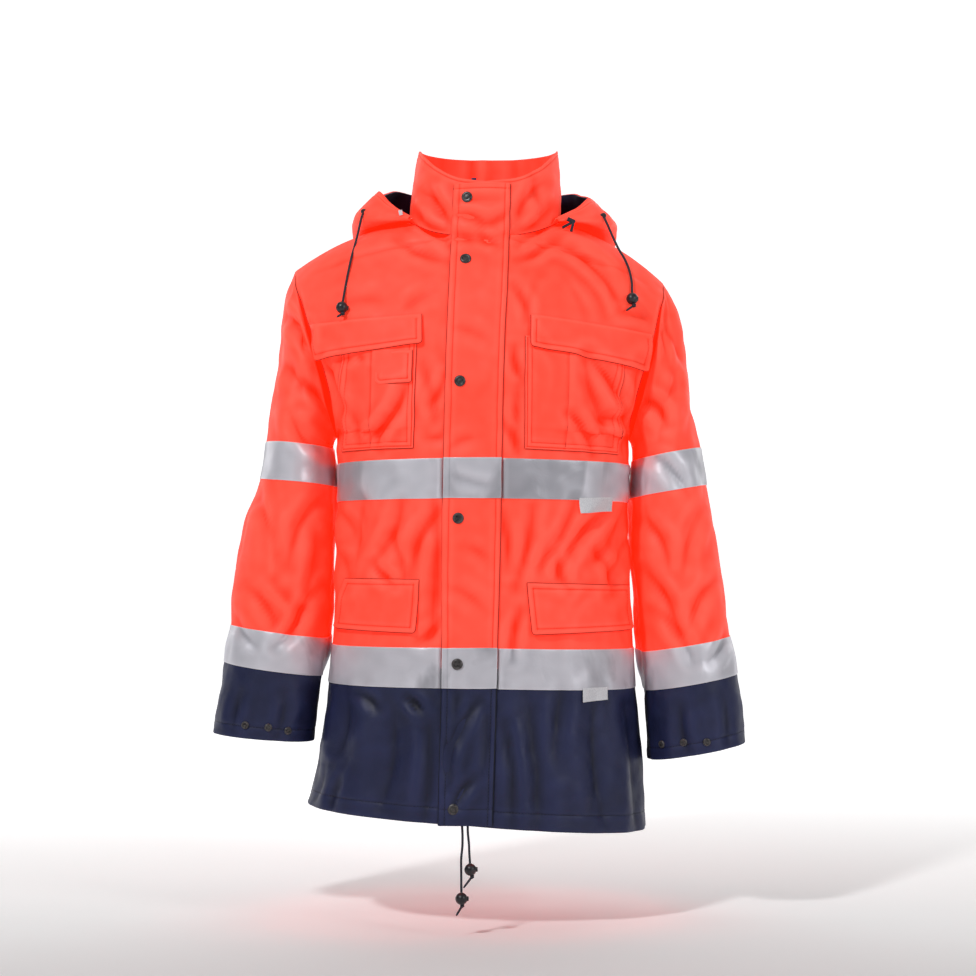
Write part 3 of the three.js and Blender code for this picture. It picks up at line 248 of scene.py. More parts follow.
def finish_piece(piece, material, nodes):
    piece.data.materials.append(material)
    scene.collection.objects.link(piece)
    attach(piece, "root")
    if nodes:
        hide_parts(*nodes)
    return piece


def add_mesh(name, points, faces, material, nodes=()):
    """A piece from points in millimetres."""
    mesh = bpy.data.meshes.new(name)
    mesh.from_pydata((np.asarray(points) * MM).tolist(), [], faces)
    mesh.validate()
    mesh.shade_smooth()
    return finish_piece(bpy.data.objects.new(name, mesh), material, nodes)


def join(parts):
    """Several lists of points and faces as one."""
    points, faces, count = [], [], 0
    for part_points, part_faces in parts:
        points.append(np.asarray(part_points, float).reshape(-1, 3))
        faces.extend([tuple(n + count for n in face) for face in part_faces])
        count += len(points[-1])
    return np.concatenate(points), faces


# Drawcords. Their free ends hang from the hood's ends and from the hem's casing; the routes are
# those of the solids. Each passes a ball stopper, ends in a knot and has a thin moulded tip.
CORD_ROUTES = {
    "hood_right": [(-153, -27, 14), (-155, -34, 8), (-157, -42, -3), (-159, -53, -17),
                   (-162, -65.5, -34), (-166, -84.5, -56), (-170, -95.5, -80), (-172.5, -105, -98),
                   (-174.5, -112, -113.5)],
    "hood_left": [(157, -31, 8), (159, -37, 3), (163, -42, -7), (169, -46, -22), (176, -51, -38),
                  (183, -60, -52), (188, -70, -67), (190.5, -82, -84), (190.3, -89.5, -93),
                  (190, -96, -101.5)],
    "hem_right": [(-24, -169.3, -764.4), (-23.5, -169.8, -773), (-23.5, -171, -788),
                  (-25, -172, -804), (-25, -172, -820), (-24.8, -172, -845.2)],
    "hem_left": [(-17, -169.3, -764.4), (-16.8, -169.8, -773), (-15.5, -171, -786),
                 (-15, -172, -797), (-14.2, -172, -809.6)],
}
CORD_TIPS = {  # from the ball's middle: towards the knot, then towards the tip's end
    "hood_right": ((1.5, -4, -8), (-6, -7, -13)),
    "hood_left": ((2, -4, -9), (-8, -6, -16)),
    "hem_right": ((1, 0, -8.5), (-6.5, 0, -21)),
    "hem_left": ((2, 0, -8.5), (-8.5, 0, -22.5)),
}
CORD_POINTS = 28
STOPPER_MOUTH = [(-0.4, 1.7), (-0.2, 2.4), (0.4, 2.9), (1.4, 2.9)]
STOPPER_BUTTON = [(0, 3.0), (2.6, 3.0), (3.2, 2.7), (3.4, 2.0), (3.4, 0.4)]
KNOT_LOOP = [(0, 1.6), (0.4, 2.5), (1.2, 3.1), (2.0, 2.5), (2.4, 1.6)]


def curve_through(points, count):
    """Points evenly spread in parameter along a smooth curve through the given ones."""
    points = np.asarray(points, float)
    ends = np.concatenate([[2 * points[0] - points[1]], points, [2 * points[-1] - points[-2]]])
    where = np.linspace(0, len(points) - 1, count)
    out = []
    for value in where:
        i = min(int(value), len(points) - 2)
        t = value - i
        a, b, c, d = ends[i : i + 4]
        out.append(0.5 * (2 * b + (c - a) * t + (2 * a - 5 * b + 4 * c - d) * t**2
                          + (3 * b - a - 3 * c + d) * t**3))
    return np.array(out)


def frame_along(axis):
    axis = axis / np.linalg.norm(axis)
    side = np.cross(axis, (0, 0, 1) if abs(axis[2]) < 0.9 else (1, 0, 0))
    side /= np.linalg.norm(side)
    return axis, side, np.cross(axis, side)


def band_faces(rings, sides):
    """The faces between rings of points that follow each other."""
    faces = []
    for i in range(0, (rings - 1) * sides, sides):
        for j in range(sides):
            k = (j + 1) % sides
            faces.append((i + j, i + k, i + sides + k, i + sides + j))
    return faces


def lathe(origin, axis, profile, sides=24):
    """A turned form: profile is (distance along the axis, radius)."""
    axis, side, other = frame_along(np.asarray(axis, float))
    angles = np.linspace(0, 2 * np.pi, sides, endpoint=False)
    ring = np.cos(angles)[:, None] * side + np.sin(angles)[:, None] * other
    points = [np.asarray(origin, float) + axis * along + ring * radius for along, radius in profile]
    top = (len(profile) - 1) * sides
    caps = [tuple(reversed(range(sides))), tuple(range(top, top + sides))]
    return np.concatenate(points), band_faces(len(profile), sides) + caps


def ball_profile(radius, flat, steps=14):
    """A ball with a small flat, drilled look at both ends."""
    turns = np.linspace(flat, np.pi - flat, steps)
    return [(-radius * math.cos(a), radius * math.sin(a)) for a in turns]


for name, route in CORD_ROUTES.items():
    curve = bpy.data.curves.new(f"drawcord_{name}", "CURVE")
    curve.dimensions = "3D"
    curve.bevel_depth = CORD_RADIUS * MM
    curve.bevel_resolution = 4
    curve.use_fill_caps = True
    spline = curve.splines.new("POLY")
    path = curve_through(route, CORD_POINTS)
    spline.points.add(CORD_POINTS - 1)
    for point, place in zip(spline.points, path):
        point.co = (*(place * MM), 1)
    drawcord = finish_piece(bpy.data.objects.new(f"drawcord_{name}", curve), CORD, [f"cord_{name}"])

    end, before = np.array(route[-1], float), np.array(route[-2], float)
    down = (end - before) / np.linalg.norm(end - before)
    ball = end + down * (STOPPER_RADIUS + 0.4)
    across = np.cross(down, (0, 1, 0))
    parts = [
        lathe(ball, down, ball_profile(STOPPER_RADIUS, 0.42)),
        lathe(ball - down * 7.2, down, STOPPER_MOUTH),
        lathe(ball + across * 5.6, across, STOPPER_BUTTON),
    ]
    stopper = add_mesh(f"toggle_{name}", *join(parts), BLACK, [f"stopper_{name}"])
    knot_at, tip_end = (ball + np.array(step, float) for step in CORD_TIPS[name])
    loops = []
    for turn in (0.0, 1.05, 2.1):
        tilt = np.array([math.cos(turn), 0.35, math.sin(turn)])
        loops.append(lathe(knot_at - tilt * 1.2, tilt, KNOT_LOOP, 14))
    knot = add_mesh(f"knot_{name}", *join(loops), CORD)
    tip_axis = tip_end - knot_at
    reach = np.linalg.norm(tip_axis)
    tip = add_mesh(
        f"cord_end_{name}",
        *lathe(knot_at, tip_axis, [(0, 1.4), (reach * 0.75, 1.3), (reach - 0.6, 0.9), (reach, 0.5)], 12),
        CORD,
    )


# The jacket's form. Each table gives one smooth function per named column.
def column(x, y):
    x, y = np.asarray(x, float), np.asarray(y, float)
    slope = np.diff(y) / np.diff(x)
    tangent = np.empty(len(x))
    tangent[0], tangent[-1] = slope[0], slope[-1]
    for i in range(1, len(x) - 1):
        a, b = slope[i - 1], slope[i]
        tangent[i] = 0 if a * b <= 0 else 2 * a * b / (a + b)

    def value(at):
        at = np.asarray(at, float)
        i = np.clip(np.searchsorted(x, at) - 1, 0, len(x) - 2)
        h = x[i + 1] - x[i]
        t = np.clip((at - x[i]) / h, 0, 1)
        return (
            y[i] * (2 * t**3 - 3 * t**2 + 1)
            + y[i + 1] * (3 * t**2 - 2 * t**3)
            + h * tangent[i] * (t**3 - 2 * t**2 + t)
            + h * tangent[i + 1] * (t**3 - t**2)
        )

    return value


def table(names, rows):
    names = names.split()
    lines = list(zip(*rows))
    return {name: column(lines[0], lines[n + 1]) for n, name in enumerate(names[1:])}


CENTRE = {
    "front": table("row line out y z", [
        (-764, -20, 0, -170, -764), (-690, -18, 0, -167, -690), (-596, -15, 0, -161, -596),
        (-500, -13, 0, -157, -500), (-400, -12, 0, -157, -400), (-300, -10, 0, -160, -300),
        (-230, -8, 0, -159, -230), (-150, -5, 0, -149, -150), (-85, -2, 0, -130, -85),
        (-50, 0, 0, -114, -50), (-30, 1, 0, -104, -30), (-18, 2, 36, -98, -28), (-6, 2, 64, -82, -21),
        (6, 3, 83, -58, -11), (18, 3, 94, -31, -2), (30, 3, 98, -4, 4),
    ]),
    "back": table("row line out y z", [
        (-764, 0, 0, 170, -766), (-690, 0, 0, 166, -691), (-596, 0, 0, 159, -596),
        (-450, 0, 0, 149, -450), (-300, 0, 0, 151, -300), (-210, 0, 0, 151, -205),
        (-130, 0, 0, 143, -118), (-85, 0, 0, 132, -72), (-30, 0, 0, 98, -3), (-18, 0, 0, 80, 15),
        (-6, 1, 40, 73, 14), (6, 2, 70, 54, 11), (18, 2.5, 90, 28, 8), (30, 3, 98, -4, 4),
    ]),
}
SIDE = table("row right left zRight zLeft front back", [
    (-764, 226, 214, -752, -785, 0, 0), (-690, 211, 208, -684, -702, 0, 0),
    (-596, 199, 200, -595, -602, 0, 0), (-500, 192, 194, -500, -504, 0, 0),
    (-400, 187, 190, -400, -402, 0, 0), (-311, 188, 191, -314, -315, 0, 0),
    (-275, 190, 192, -276, -280, 0, 0), (-266, 191, 193, -271, -275, -24, 26),
    (-245, 195, 197, -252, -257, -50, 52), (-210, 201, 204, -220, -226, -70, 72),
    (-170, 211, 214, -180, -188, -80, 80), (-130, 224, 224, -142, -152, -78, 80),
    (-85, 234, 231, -108, -119, -66, 70), (-30, 241, 235, -82, -95, -46, 50),
    (-18, 242, 235, -75, -89, -36, 41), (-6, 243, 236, -69, -83, -26, 31),
    (6, 244, 236, -64, -78, -15, 21), (18, 244, 236, -60, -75, -5, 12), (30, 244, 236, -58, -73, 4, 4),
])
# How far each row turns round (degrees), how square it is, and how it is crowned between its ends.
SECTION = table("row turn square crown", [
    (-764, 90, 0.9, 0), (-560, 90, 0.86, 0), (-311, 90, 0.82, 0), (-275, 89, 0.82, 0),
    (-245, 72, 0.86, 0), (-210, 66, 0.9, 0), (-130, 62, 0.95, 2), (-85, 60, 1, 5), (-30, 50, 1, 10),
    (30, 30, 1, 10),
])
# The storm flap's two edges.
STORM_FLAP = table("z right left", [
    (-764, -53, 13), (-596, -49, 18), (-400, -48, 23), (-200, -44, 27), (-60, -39, 33), (47, -34, 36),
])
# Large folds, shared with the solids: x1, z1, x2, z2, half breadth, depth.
FOLDS = {
    "front": [
        (168, -178, 92, -318, 25, 3.7), (60, -52, 150, -122, 29, 3.1), (-150, -190, -95, -300, 23, 3.1),
        (-175, -362, -80, -452, 29, 3.7), (178, -372, 80, -462, 29, 3.7), (-66, -380, -62, -540, 22, 3.1),
        (40, -420, 44, -560, 23, 2.5), (-120, -605, -140, -764, 35, 3.7), (95, -610, 120, -775, 38, 3.7),
    ],
    "back": [
        (-40, -300, -70, -560, 35, 3.7), (55, -270, 80, -540, 35, 3.7), (-150, -250, -100, -420, 29, 3.7),
        (155, -250, 120, -420, 29, 3.7), (0, -600, 10, -766, 41, 3.7),
    ],
}
# Creases, finer and deeper: the same six values, then how far the middle bows to one side.
CREASES = {
    "front": [
        # Wearer's right chest and pocket
        (-222, -138, -214, -170, 6, 5.0, 2), (-206, -186, -184, -274, 12, 10.0, 5),
        (-198, -206, -176, -246, 9, 6.0, -4), (-92, -220, -144, -292, 8, 4.6, 7),
        (-118, -262, -128, -298, 7, 3.2, -3), (-170, -232, -152, -298, 8, 3.0, 5),
        (-46, -212, -63, -246, 5, 3.0, 2), (-44, -282, -66, -286, 4, 1.8, 2),
        (-180, -193, -172, -180, 3, 2.2, 0), (-170, -194, -160, -180, 3, 2.2, 1),
        (-152, -190, -146, -181, 3, 1.8, 0), (-72, -196, -58, -270, 8, 2.2, 3),
        (-190, -120, -120, -112, 12, 2.0, 5), (-60, -104, -100, -128, 9, 2.0, -3),
        # Under the chest tape, wearer's right
        (-150, -366, -158, -452, 15, 6.0, -6), (-100, -366, -136, -440, 9, 3.4, 8),
        (-134, -440, -108, -468, 6, 3.2, -3), (-56, -378, -88, -456, 9, 4.6, -6),
        (-112, -404, -96, -470, 7, 2.4, 4), (-58, -364, -64, -540, 9, 3.6, 4),
        (-184, -424, -170, -470, 9, 3.6, 3), (-52, -514, -78, -538, 6, 3.0, 3),
        (-182, -372, -166, -410, 8, 3.0, 3),
        # Wearer's left chest and pocket
        (134, -184, 188, -258, 10, 6.0, 4), (126, -184, 166, -286, 11, 5.0, -6),
        (146, -262, 202, -262, 10, 5.0, 4), (108, -256, 140, -304, 6, 4.0, 4),
        (28, -268, 44, -304, 5, 3.2, 2), (40, -176, 50, -214, 7, 3.0, -3),
        (190, -272, 182, -306, 9, 7.0, -2), (206, -190, 190, -270, 12, 9.0, 5),
        (72, -26, 176, -118, 10, 4.2, 18), (92, -60, 156, -132, 9, 2.4, 12),
        (40, -96, 58, -138, 7, 2.2, 4), (44, -226, 46, -300, 7, 2.4, -2),
        (176, -126, 214, -132, 8, 2.2, 3),
        # Under the chest tape, wearer's left
        (186, -366, 140, -440, 11, 6.0, 8), (158, -374, 92, -462, 9, 4.6, -8),
        (118, -366, 70, -448, 9, 4.0, 6), (196, -400, 162, -480, 9, 4.6, -6),
        (64, -372, 42, -470, 8, 3.6, 4), (140, -420, 172, -474, 8, 3.6, 4),
        (94, -430, 108, -474, 7, 2.8, -3), (48, -500, 38, -560, 7, 3.2, -3),
        (24, -380, 34, -450, 7, 2.6, 3),
        # Collar and neck
        (-76, 34, -42, -18, 8, 4.2, 4), (-86, 8, -50, -26, 6, 3.4, -4), (-70, -16, -40, -40, 5, 3.0, 3),
        (-66, 44, -58, 4, 8, 2.6, -3), (78, 42, 44, -12, 8, 3.8, -5), (90, 14, 44, -26, 6, 4.4, 5),
        (94, -8, 46, -42, 6, 3.2, -4), (62, 50, 72, 6, 8, 2.4, 4), (-108, -30, -44, -62, 8, 2.6, -5),
        (100, -26, 46, -60, 7, 2.6, 4),
        # Navy hem
        (-90, -608, -74, -626, 5, 4.2, 1), (-112, -618, -126, -742, 19, 6.0, 7),
        (-168, -606, -186, -690, 12, 4.2, 5), (-66, -640, -70, -756, 9, 3.8, 3),
        (-196, -700, -214, -748, 6, 3.8, 2), (-208, -690, -220, -740, 5, 3.0, 2),
        (-182, -716, -190, -752, 5, 3.2, -2), (56, -606, 70, -772, 13, 4.2, 6),
        (100, -604, 92, -700, 10, 3.4, -4), (142, -612, 158, -778, 14, 5.2, -7),
        (184, -620, 198, -780, 9, 4.4, 4), (30, -640, 40, -764, 8, 3.0, 3),
        (-152, -604, -130, -622, 6, 2.8, 2),
    ],
    "back": [
        (-168, -204, -120, -330, 12, 4.0, 8), (168, -210, 124, -330, 12, 4.0, -8),
        (-196, -236, -150, -360, 10, 3.4, -6), (192, -240, 150, -352, 10, 3.4, 6),
        (-60, -90, -160, -140, 12, 2.4, 8), (64, -92, 162, -150, 12, 2.4, -8),
        (-24, -372, -60, -520, 12, 3.0, 6), (30, -368, 64, -530, 12, 3.0, -6),
        (-130, -370, -96, -540, 12, 3.4, 7), (136, -366, 110, -540, 12, 3.4, -7),
        (-176, -380, -160, -540, 10, 3.0, 5), (178, -380, 160, -540, 10, 3.0, -5),
        (-20, -604, -30, -766, 14, 3.2, 5), (66, -604, 84, -768, 14, 3.2, -6),
        (-110, -604, -124, -764, 14, 3.2, 6), (150, -606, 168, -776, 12, 3.2, 5),
        (-176, -604, -196, -756, 11, 2.8, -5), (0, -240, 6, -306, 12, 1.8, 4),
    ],
}
# The same for the sleeves, seen from the front and from the back.
SLEEVE_CREASES = {
    "front": [
        (-262, -112, -226, -170, 8, 5.2, 4), (-238, -120, -216, -172, 7, 5.0, -4),
        (-226, -212, -190, -250, 9, 4.6, 4), (-279, -336, -266, -450, 3, -1.6, 3),
        (-251, -150, -262, -230, 3, -1.2, 3),
        (-258, -180, -226, -240, 9, 2.6, 6), (-244, -250, -206, -300, 9, 3.0, -6),
        (-202, -354, -246, -442, 11, 4.0, -7), (-286, -356, -262, -450, 10, 2.4, 6),
        (-214, -392, -222, -476, 9, 3.2, 5), (-206, -470, -240, -540, 9, 3.6, -6),
        (-300, -470, -258, -530, 9, 2.6, 6), (-228, -500, -262, -548, 7, 2.4, 4),
        (-322, -500, -290, -546, 8, 2.2, -4), (-250, -606, -262, -668, 8, 2.0, 4),
        (-306, -604, -316, -660, 8, 2.0, -4), (-268, -480, -236, -520, 8, -2.0, 3),
        (232, -100, 262, -186, 9, 5.0, -5), (216, -120, 240, -196, 8, 4.8, 5),
        (246, -150, 236, -256, 3, -1.6, -3), (204, -232, 236, -262, 9, 4.6, 4),
        (250, -206, 226, -286, 9, 2.8, -6), (212, -300, 262, -352, 9, 2.6, 5),
        (204, -380, 240, -452, 10, 3.4, 7), (282, -372, 256, -460, 10, 2.6, -6),
        (208, -450, 250, -530, 9, 3.6, 6), (300, -462, 262, -524, 9, 2.8, -6),
        (222, -500, 268, -566, 8, 2.6, 5), (318, -520, 290, -566, 8, 2.2, 4),
        (252, -620, 262, -684, 8, 2.2, -4), (306, -610, 314, -668, 8, 2.0, 4),
    ],
    "back": [
        (-262, -130, -222, -210, 10, 3.4, 5), (-286, -300, -226, -380, 11, 3.6, -6),
        (-300, -400, -232, -470, 11, 4.0, 7), (-306, -460, -236, -520, 10, 3.6, -6),
        (-262, -600, -272, -664, 9, 2.2, 4), (262, -140, 220, -220, 10, 3.4, -5),
        (286, -310, 226, -390, 11, 3.6, 6), (296, -410, 232, -480, 11, 4.0, -7),
        (304, -470, 236, -530, 10, 3.6, 6), (262, -610, 272, -676, 9, 2.2, -4),
    ],
}
SLEEVE_DEEPER = 1.2  # the sleeves' relief, over the body's
WRINKLE_SIZE, WRINKLE_DEPTH = 46.0, 1.9
KINK_SIZE, KINK_DEPTH = 66.0, 7.5
KINK_SOFT, KINK_TOP = 0.055, 0.22  # round its bottom and cut off its top
CREASES_DEEPER = 1.6  # than the tables say
NARROWEST_CREASE = 7.0
ARMHOLE_DIP = 6.0
HALF_GIRTH = 262.0  # half of a front or back, round the body


def fold_depth(face, x, z):
    depth = np.zeros_like(x)
    for x1, z1, x2, z2, width, deep in FOLDS[face]:
        dx, dz = x2 - x1, z2 - z1
        t = np.clip(((x - x1) * dx + (z - z1) * dz) / (dx * dx + dz * dz), 0, 1)
        away = np.hypot(x - x1 - t * dx, z - z1 - t * dz) / width
        depth += deep * np.exp(-(away**2)) * (0.45 + 0.55 * np.sin(np.pi * t))
    return depth


def crease_height(creases, x, z):
    """Height above the smooth form: a trough with a softer ridge on each side."""
    height = np.zeros_like(x)
    for x1, z1, x2, z2, width, deep, bow in creases:
        dx, dz = x2 - x1, z2 - z1
        length = math.hypot(dx, dz)
        t = ((x - x1) * dx + (z - z1) * dz) / length**2
        inner = np.clip(t, 0, 1)
        offset = ((x - x1) * -dz + (z - z1) * dx) / length - bow * 4 * inner * (1 - inner)
        beyond = (t - inner) * length
        away = np.hypot(offset, beyond) / max(width, NARROWEST_CREASE)
        taper = 0.35 + 0.65 * np.sin(np.pi * inner)
        profile = np.exp(-1.25 * away ** 1.4) - 0.42 * np.exp(-((away - 1.75) ** 2) / 0.8)
        height -= CREASES_DEEPER * deep * taper * profile
    return height


def wrinkles(points, size=WRINKLE_SIZE, depth=WRINKLE_DEPTH):
    """Small uneven wrinkles, and sharp kinks where a second pattern changes sign; the same place
    always gives the same height."""
    flat = points.reshape(-1, 3)
    soft = [noise.noise(Vector(p)) + 0.5 * noise.noise(Vector(p * 2.3 + 7)) for p in flat / size]
    bent = flat / KINK_SIZE * (1.0, 1.0, 0.7)
    sharp = [
        min(math.hypot(noise.noise(Vector(p + 31)), KINK_SOFT), KINK_TOP)
        * (0.5 + noise.noise(Vector(p * 0.8 + 5)))
        for p in bent
    ]
    height = depth * (np.array(soft) + KINK_DEPTH / WRINKLE_DEPTH * np.array(sharp))
    return height.reshape(points.shape[:-1])


def smoothstep(x, low, high):
    t = np.clip((np.asarray(x, float) - low) / (high - low), 0, 1)
    return t * t * (3 - 2 * t)


def torso(face, sign, row, t):
    """A point of the smooth torso; sign is -1 on the wearer's right and 1 on the left."""
    sign, row, t = np.broadcast_arrays(np.asarray(sign, float), row, t)
    centre = CENTRE[face]
    x_in = centre["line"](row) + sign * centre["out"](row)
    x_out = sign * np.where(sign < 0, SIDE["right"](row), SIDE["left"](row))
    z_out = np.where(sign < 0, SIDE["zRight"](row), SIDE["zLeft"](row))
    turn = np.radians(SECTION["turn"](row))
    square = SECTION["square"](row)
    across = (np.sin(turn * t) / np.sin(turn)) ** square
    bulge = np.clip((np.cos(turn * t) - np.cos(turn)) / (1 - np.cos(turn)), 0, None) ** square
    x = x_in + (x_out - x_in) * across
    y = SIDE[face](row) + (centre["y"](row) - SIDE[face](row)) * bulge
    z = centre["z"](row) + (z_out - centre["z"](row)) * across
    z = z + SECTION["crown"](row) * np.sin(np.pi * t)
    fade = np.minimum(1, 4 * (1 - t)) * smoothstep(-row, -NECK_FRONT, 70)
    y = y + (1 if face == "front" else -1) * fold_depth(face, x, z) * fade
    return np.stack([x, y, z], -1)


def unit(vectors):
    return vectors / np.maximum(np.linalg.norm(vectors, axis=-1, keepdims=True), 1e-9)


def torso_normal(face, sign, row, t):
    sign, row, t = np.broadcast_arrays(np.asarray(sign, float), row, t)
    t = np.clip(t, 0.004, 0.99)
    row = np.clip(row, HEM + 1, SHOULDER - 1)
    along = torso(face, sign, row, t + 0.004) - torso(face, sign, row, t - 0.004)
    up = torso(face, sign, row + 1, t) - torso(face, sign, row - 1, t)
    facing = sign[..., None] * (1 if face == "front" else -1)
    return unit(facing * np.cross(along, up))


def cloth(face, sign, row, t, height=0.0):
    """A torso point with its creases, moved out by a height."""
    points = torso(face, sign, row, t)
    normals = torso_normal(face, sign, row, t)
    sign, row, t = np.broadcast_arrays(np.asarray(sign, float), row, t)
    x, z = points[..., 0], points[..., 2]
    fade = smoothstep(1 - t, 0, 0.1) * smoothstep(SHOULDER - row, 0, 30)
    relief = (crease_height(CREASES[face], x, z) + wrinkles(points)) * fade
    armhole = smoothstep(row, UNDERARM - 6, UNDERARM + 30) * smoothstep(-row, 20, 110)
    relief = relief - ARMHOLE_DIP * armhole * (1 - smoothstep((1 - t) * HALF_GIRTH, 0, 13))
    return points + normals * (relief + height)[..., None], normals


def bisect(is_short, low, high, steps):
    """Where a test that is true below some value stops being true, for each point."""
    for _ in range(steps):
        middle = (low + high) / 2
        short = is_short(middle)
        low, high = np.where(short, middle, low), np.where(short, high, middle)
    return (low + high) / 2


def locate(face, x, z):
    """Side, row and t of the points of the front or back view, below the neck."""
    x, z = np.broadcast_arrays(np.asarray(x, float), np.asarray(z, float))
    row = z.copy()
    for _ in range(7):
        sign = np.where(x < CENTRE[face]["line"](row), -1.0, 1.0)

        def is_short(at):
            return sign * torso(face, sign, row, at)[..., 0] < sign * x

        t = bisect(is_short, np.zeros_like(x), np.ones_like(x), 22)
        row = np.clip(row + z - torso(face, sign, row, t)[..., 2], HEM, NECK_FRONT)
    return sign, row, t


def on_front(x, z, height=0.0):
    return cloth("front", *locate("front", x, z), height)


def spline_weights(value, count, wrap):
    """Indices and weights of the four neighbours of a fractional index."""
    value = np.asarray(value, float)
    i = np.floor(value).astype(int)
    if not wrap:
        i = np.clip(i, 0, count - 2)
    t = value - i
    weights = [
        0.5 * (-t + 2 * t**2 - t**3),
        0.5 * (2 - 5 * t**2 + 3 * t**3),
        0.5 * (t + 4 * t**2 - 3 * t**3),
        0.5 * (t**3 - t**2),
    ]
    indices = [(i + k - 1) % count if wrap else np.clip(i + k - 1, 0, count - 1) for k in range(4)]
    return indices, weights


def on_grid(grid, row, col, wrap=False):
    """A point of the smooth surface through a coarse grid, at a fractional row and column."""
    row, col = np.broadcast_arrays(row, col)
    rows, row_weights = spline_weights(row, grid.shape[0], False)
    cols, col_weights = spline_weights(col, grid.shape[1], wrap)
    out = 0
    for i, a in zip(rows, row_weights):
        for j, b in zip(cols, col_weights):
            out = out + grid[i, j] * (a * b)[..., None]
    return out


def grid_normal(grid, row, col, wrap=False, facing=1):
    row, col = np.broadcast_arrays(np.asarray(row, float), np.asarray(col, float))
    row = np.clip(row, 0.05, grid.shape[0] - 1.05)
    if not wrap:
        col = np.clip(col, 0.05, grid.shape[1] - 1.05)
    along = on_grid(grid, row, col + 0.05, wrap) - on_grid(grid, row, col - 0.05, wrap)
    up = on_grid(grid, row + 0.05, col, wrap) - on_grid(grid, row - 0.05, col, wrap)
    return unit(facing * np.cross(along, up))


# Sleeves: rings from the armhole to the cuff, each from its outer to its inner point in the front
# view: xOut, zOut, xIn, zIn, depth, y.
SLEEVE_RINGS = {
    "right": [
        (254, -88, 193.5, -280, 84, 0), (259, -120, 195, -284, 84, 0), (264, -172, 196, -288, 84, 0),
        (274, -235, 196, -289, 83, 0), (281, -284, 196, -292, 82, -1), (287, -333, 195, -341, 80, -2),
        (305, -378, 194, -390, 79, -4), (316, -432, 196, -446, 76, -8), (324, -482, 198, -498, 73, -13),
        (326, -521, 202, -538, 71, -17), (330, -545, 205, -562, 70, -20), (333, -569, 208, -587, 69, -22),
        (341, -620, 213, -632, 65, -26), (347, -660, 218, -671, 60, -30),
    ],
    "left": [
        (249, -101, 195.5, -285, 84, 0), (258, -128, 197, -289, 84, 0), (266, -172, 198, -294, 84, 0),
        (272, -238, 198, -299, 83, 0), (282, -292, 198, -308, 82, -1), (292, -340, 197, -357, 80, -2),
        (301, -389, 197, -408, 79, -4), (309, -440, 200, -458, 76, -8), (317, -490, 204, -508, 73, -13),
        (322, -536, 208, -556, 71, -17), (327, -560, 210, -581, 70, -20), (331, -584, 212, -606, 69, -22),
        (337, -632, 214, -656, 65, -26), (342, -672, 217, -695, 60, -30),
    ],
}
UPPER_TAPE_RINGS = (5, 6)
LOWER_TAPE_RINGS = (10, 12)
CUFF_RING = 11
LAST_RING = 14
RING_PITCH = 47.0  # along a sleeve
ARMHOLE_FRONT_ROWS = (30, 18, 6, -6, -18, -30, -85, -130, -170, -210, -245, -266, -275)
ARMHOLE_BACK_ROWS = (-266, -245, -210, -170, -130, -85, -30, -18, -6, 6, 18)
# Troughs round part of a ring, shared with the solids: ring, angle, rings, spread, depth.
SLEEVE_FOLDS = {
    "right": [(2.6, 60, 0.9, 34, 5), (8.6, 110, 0.8, 45, 6), (9.4, 150, 0.6, 40, -4), (7.5, -90, 0.8, 50, 6)],
    "left": [(2.8, 70, 0.9, 34, 5), (7.6, 80, 0.8, 45, 6), (9.2, 130, 0.7, 40, 5), (8.2, -90, 0.8, 50, 6)],
}
# Behind, each sleeve leans in against the body: how far, the angle and its spread, and the rings.
TUCK_REACH, TUCK_ANGLE, TUCK_SPREAD = 15, 222, 15
TUCK_RINGS = (4.5, 6, 11, 13.5)
TUCK_BELOW = 3.5  # the further lean below the chest tape


def tuck(ring, degrees):
    start, full, end, none = TUCK_RINGS
    fade = smoothstep(ring, start, full) * (1 - smoothstep(ring, end, none))
    reach = TUCK_REACH + TUCK_BELOW * smoothstep(ring, 7, 9.5)
    return reach * np.exp(-(((degrees - TUCK_ANGLE) / TUCK_SPREAD) ** 2)) * fade


def sleeve_grid(side):
    sign = -1 if side == "right" else 1
    loop = np.concatenate([
        torso("front", sign, np.array(ARMHOLE_FRONT_ROWS, float), 1.0),
        torso("back", sign, np.array(ARMHOLE_BACK_ROWS, float), 1.0),
    ])
    count = len(loop)
    top, low = loop[0], loop[count // 2]
    middle, half = (top + low) / 2, (top - low) / 2
    level = np.clip((loop - middle) @ half / (half @ half), -1, 1)
    start = np.arccos(level)
    start[count // 2 + 1 :] = 2 * np.pi - start[count // 2 + 1 :]
    even = 2 * np.pi * np.arange(count) / count
    rings = [loop]
    for k, (x_out, z_out, x_in, z_in, deep, y) in enumerate(SLEEVE_RINGS[side]):
        outer = np.array([sign * x_out, y, z_out], float)
        inner = np.array([sign * x_in, y, z_in], float)
        angle = start + (even - start) * min(1, (k + 1) / 5)
        fold = np.zeros(count)
        for ring, at, rings_wide, spread, depth in SLEEVE_FOLDS[side]:
            turn = (np.degrees(angle) - at + 180) % 360 - 180
            fold += depth * np.exp(-(((k + 1 - ring) / rings_wide) ** 2) - (turn / spread) ** 2)
        shrink = (1 - fold / 70)[:, None]
        reach = np.cos(angle)[:, None] * (outer - inner) / 2
        depth_way = -deep * np.sin(angle)[:, None] * np.array([0, 1, 0])
        lean = np.outer(-sign * tuck(k + 1, np.degrees(angle)), (1, 0, 0))
        rings.append((outer + inner) / 2 + (reach + depth_way) * shrink + lean)
    return np.array(rings)


SLEEVES = {side: sleeve_grid(side) for side in ("right", "left")}


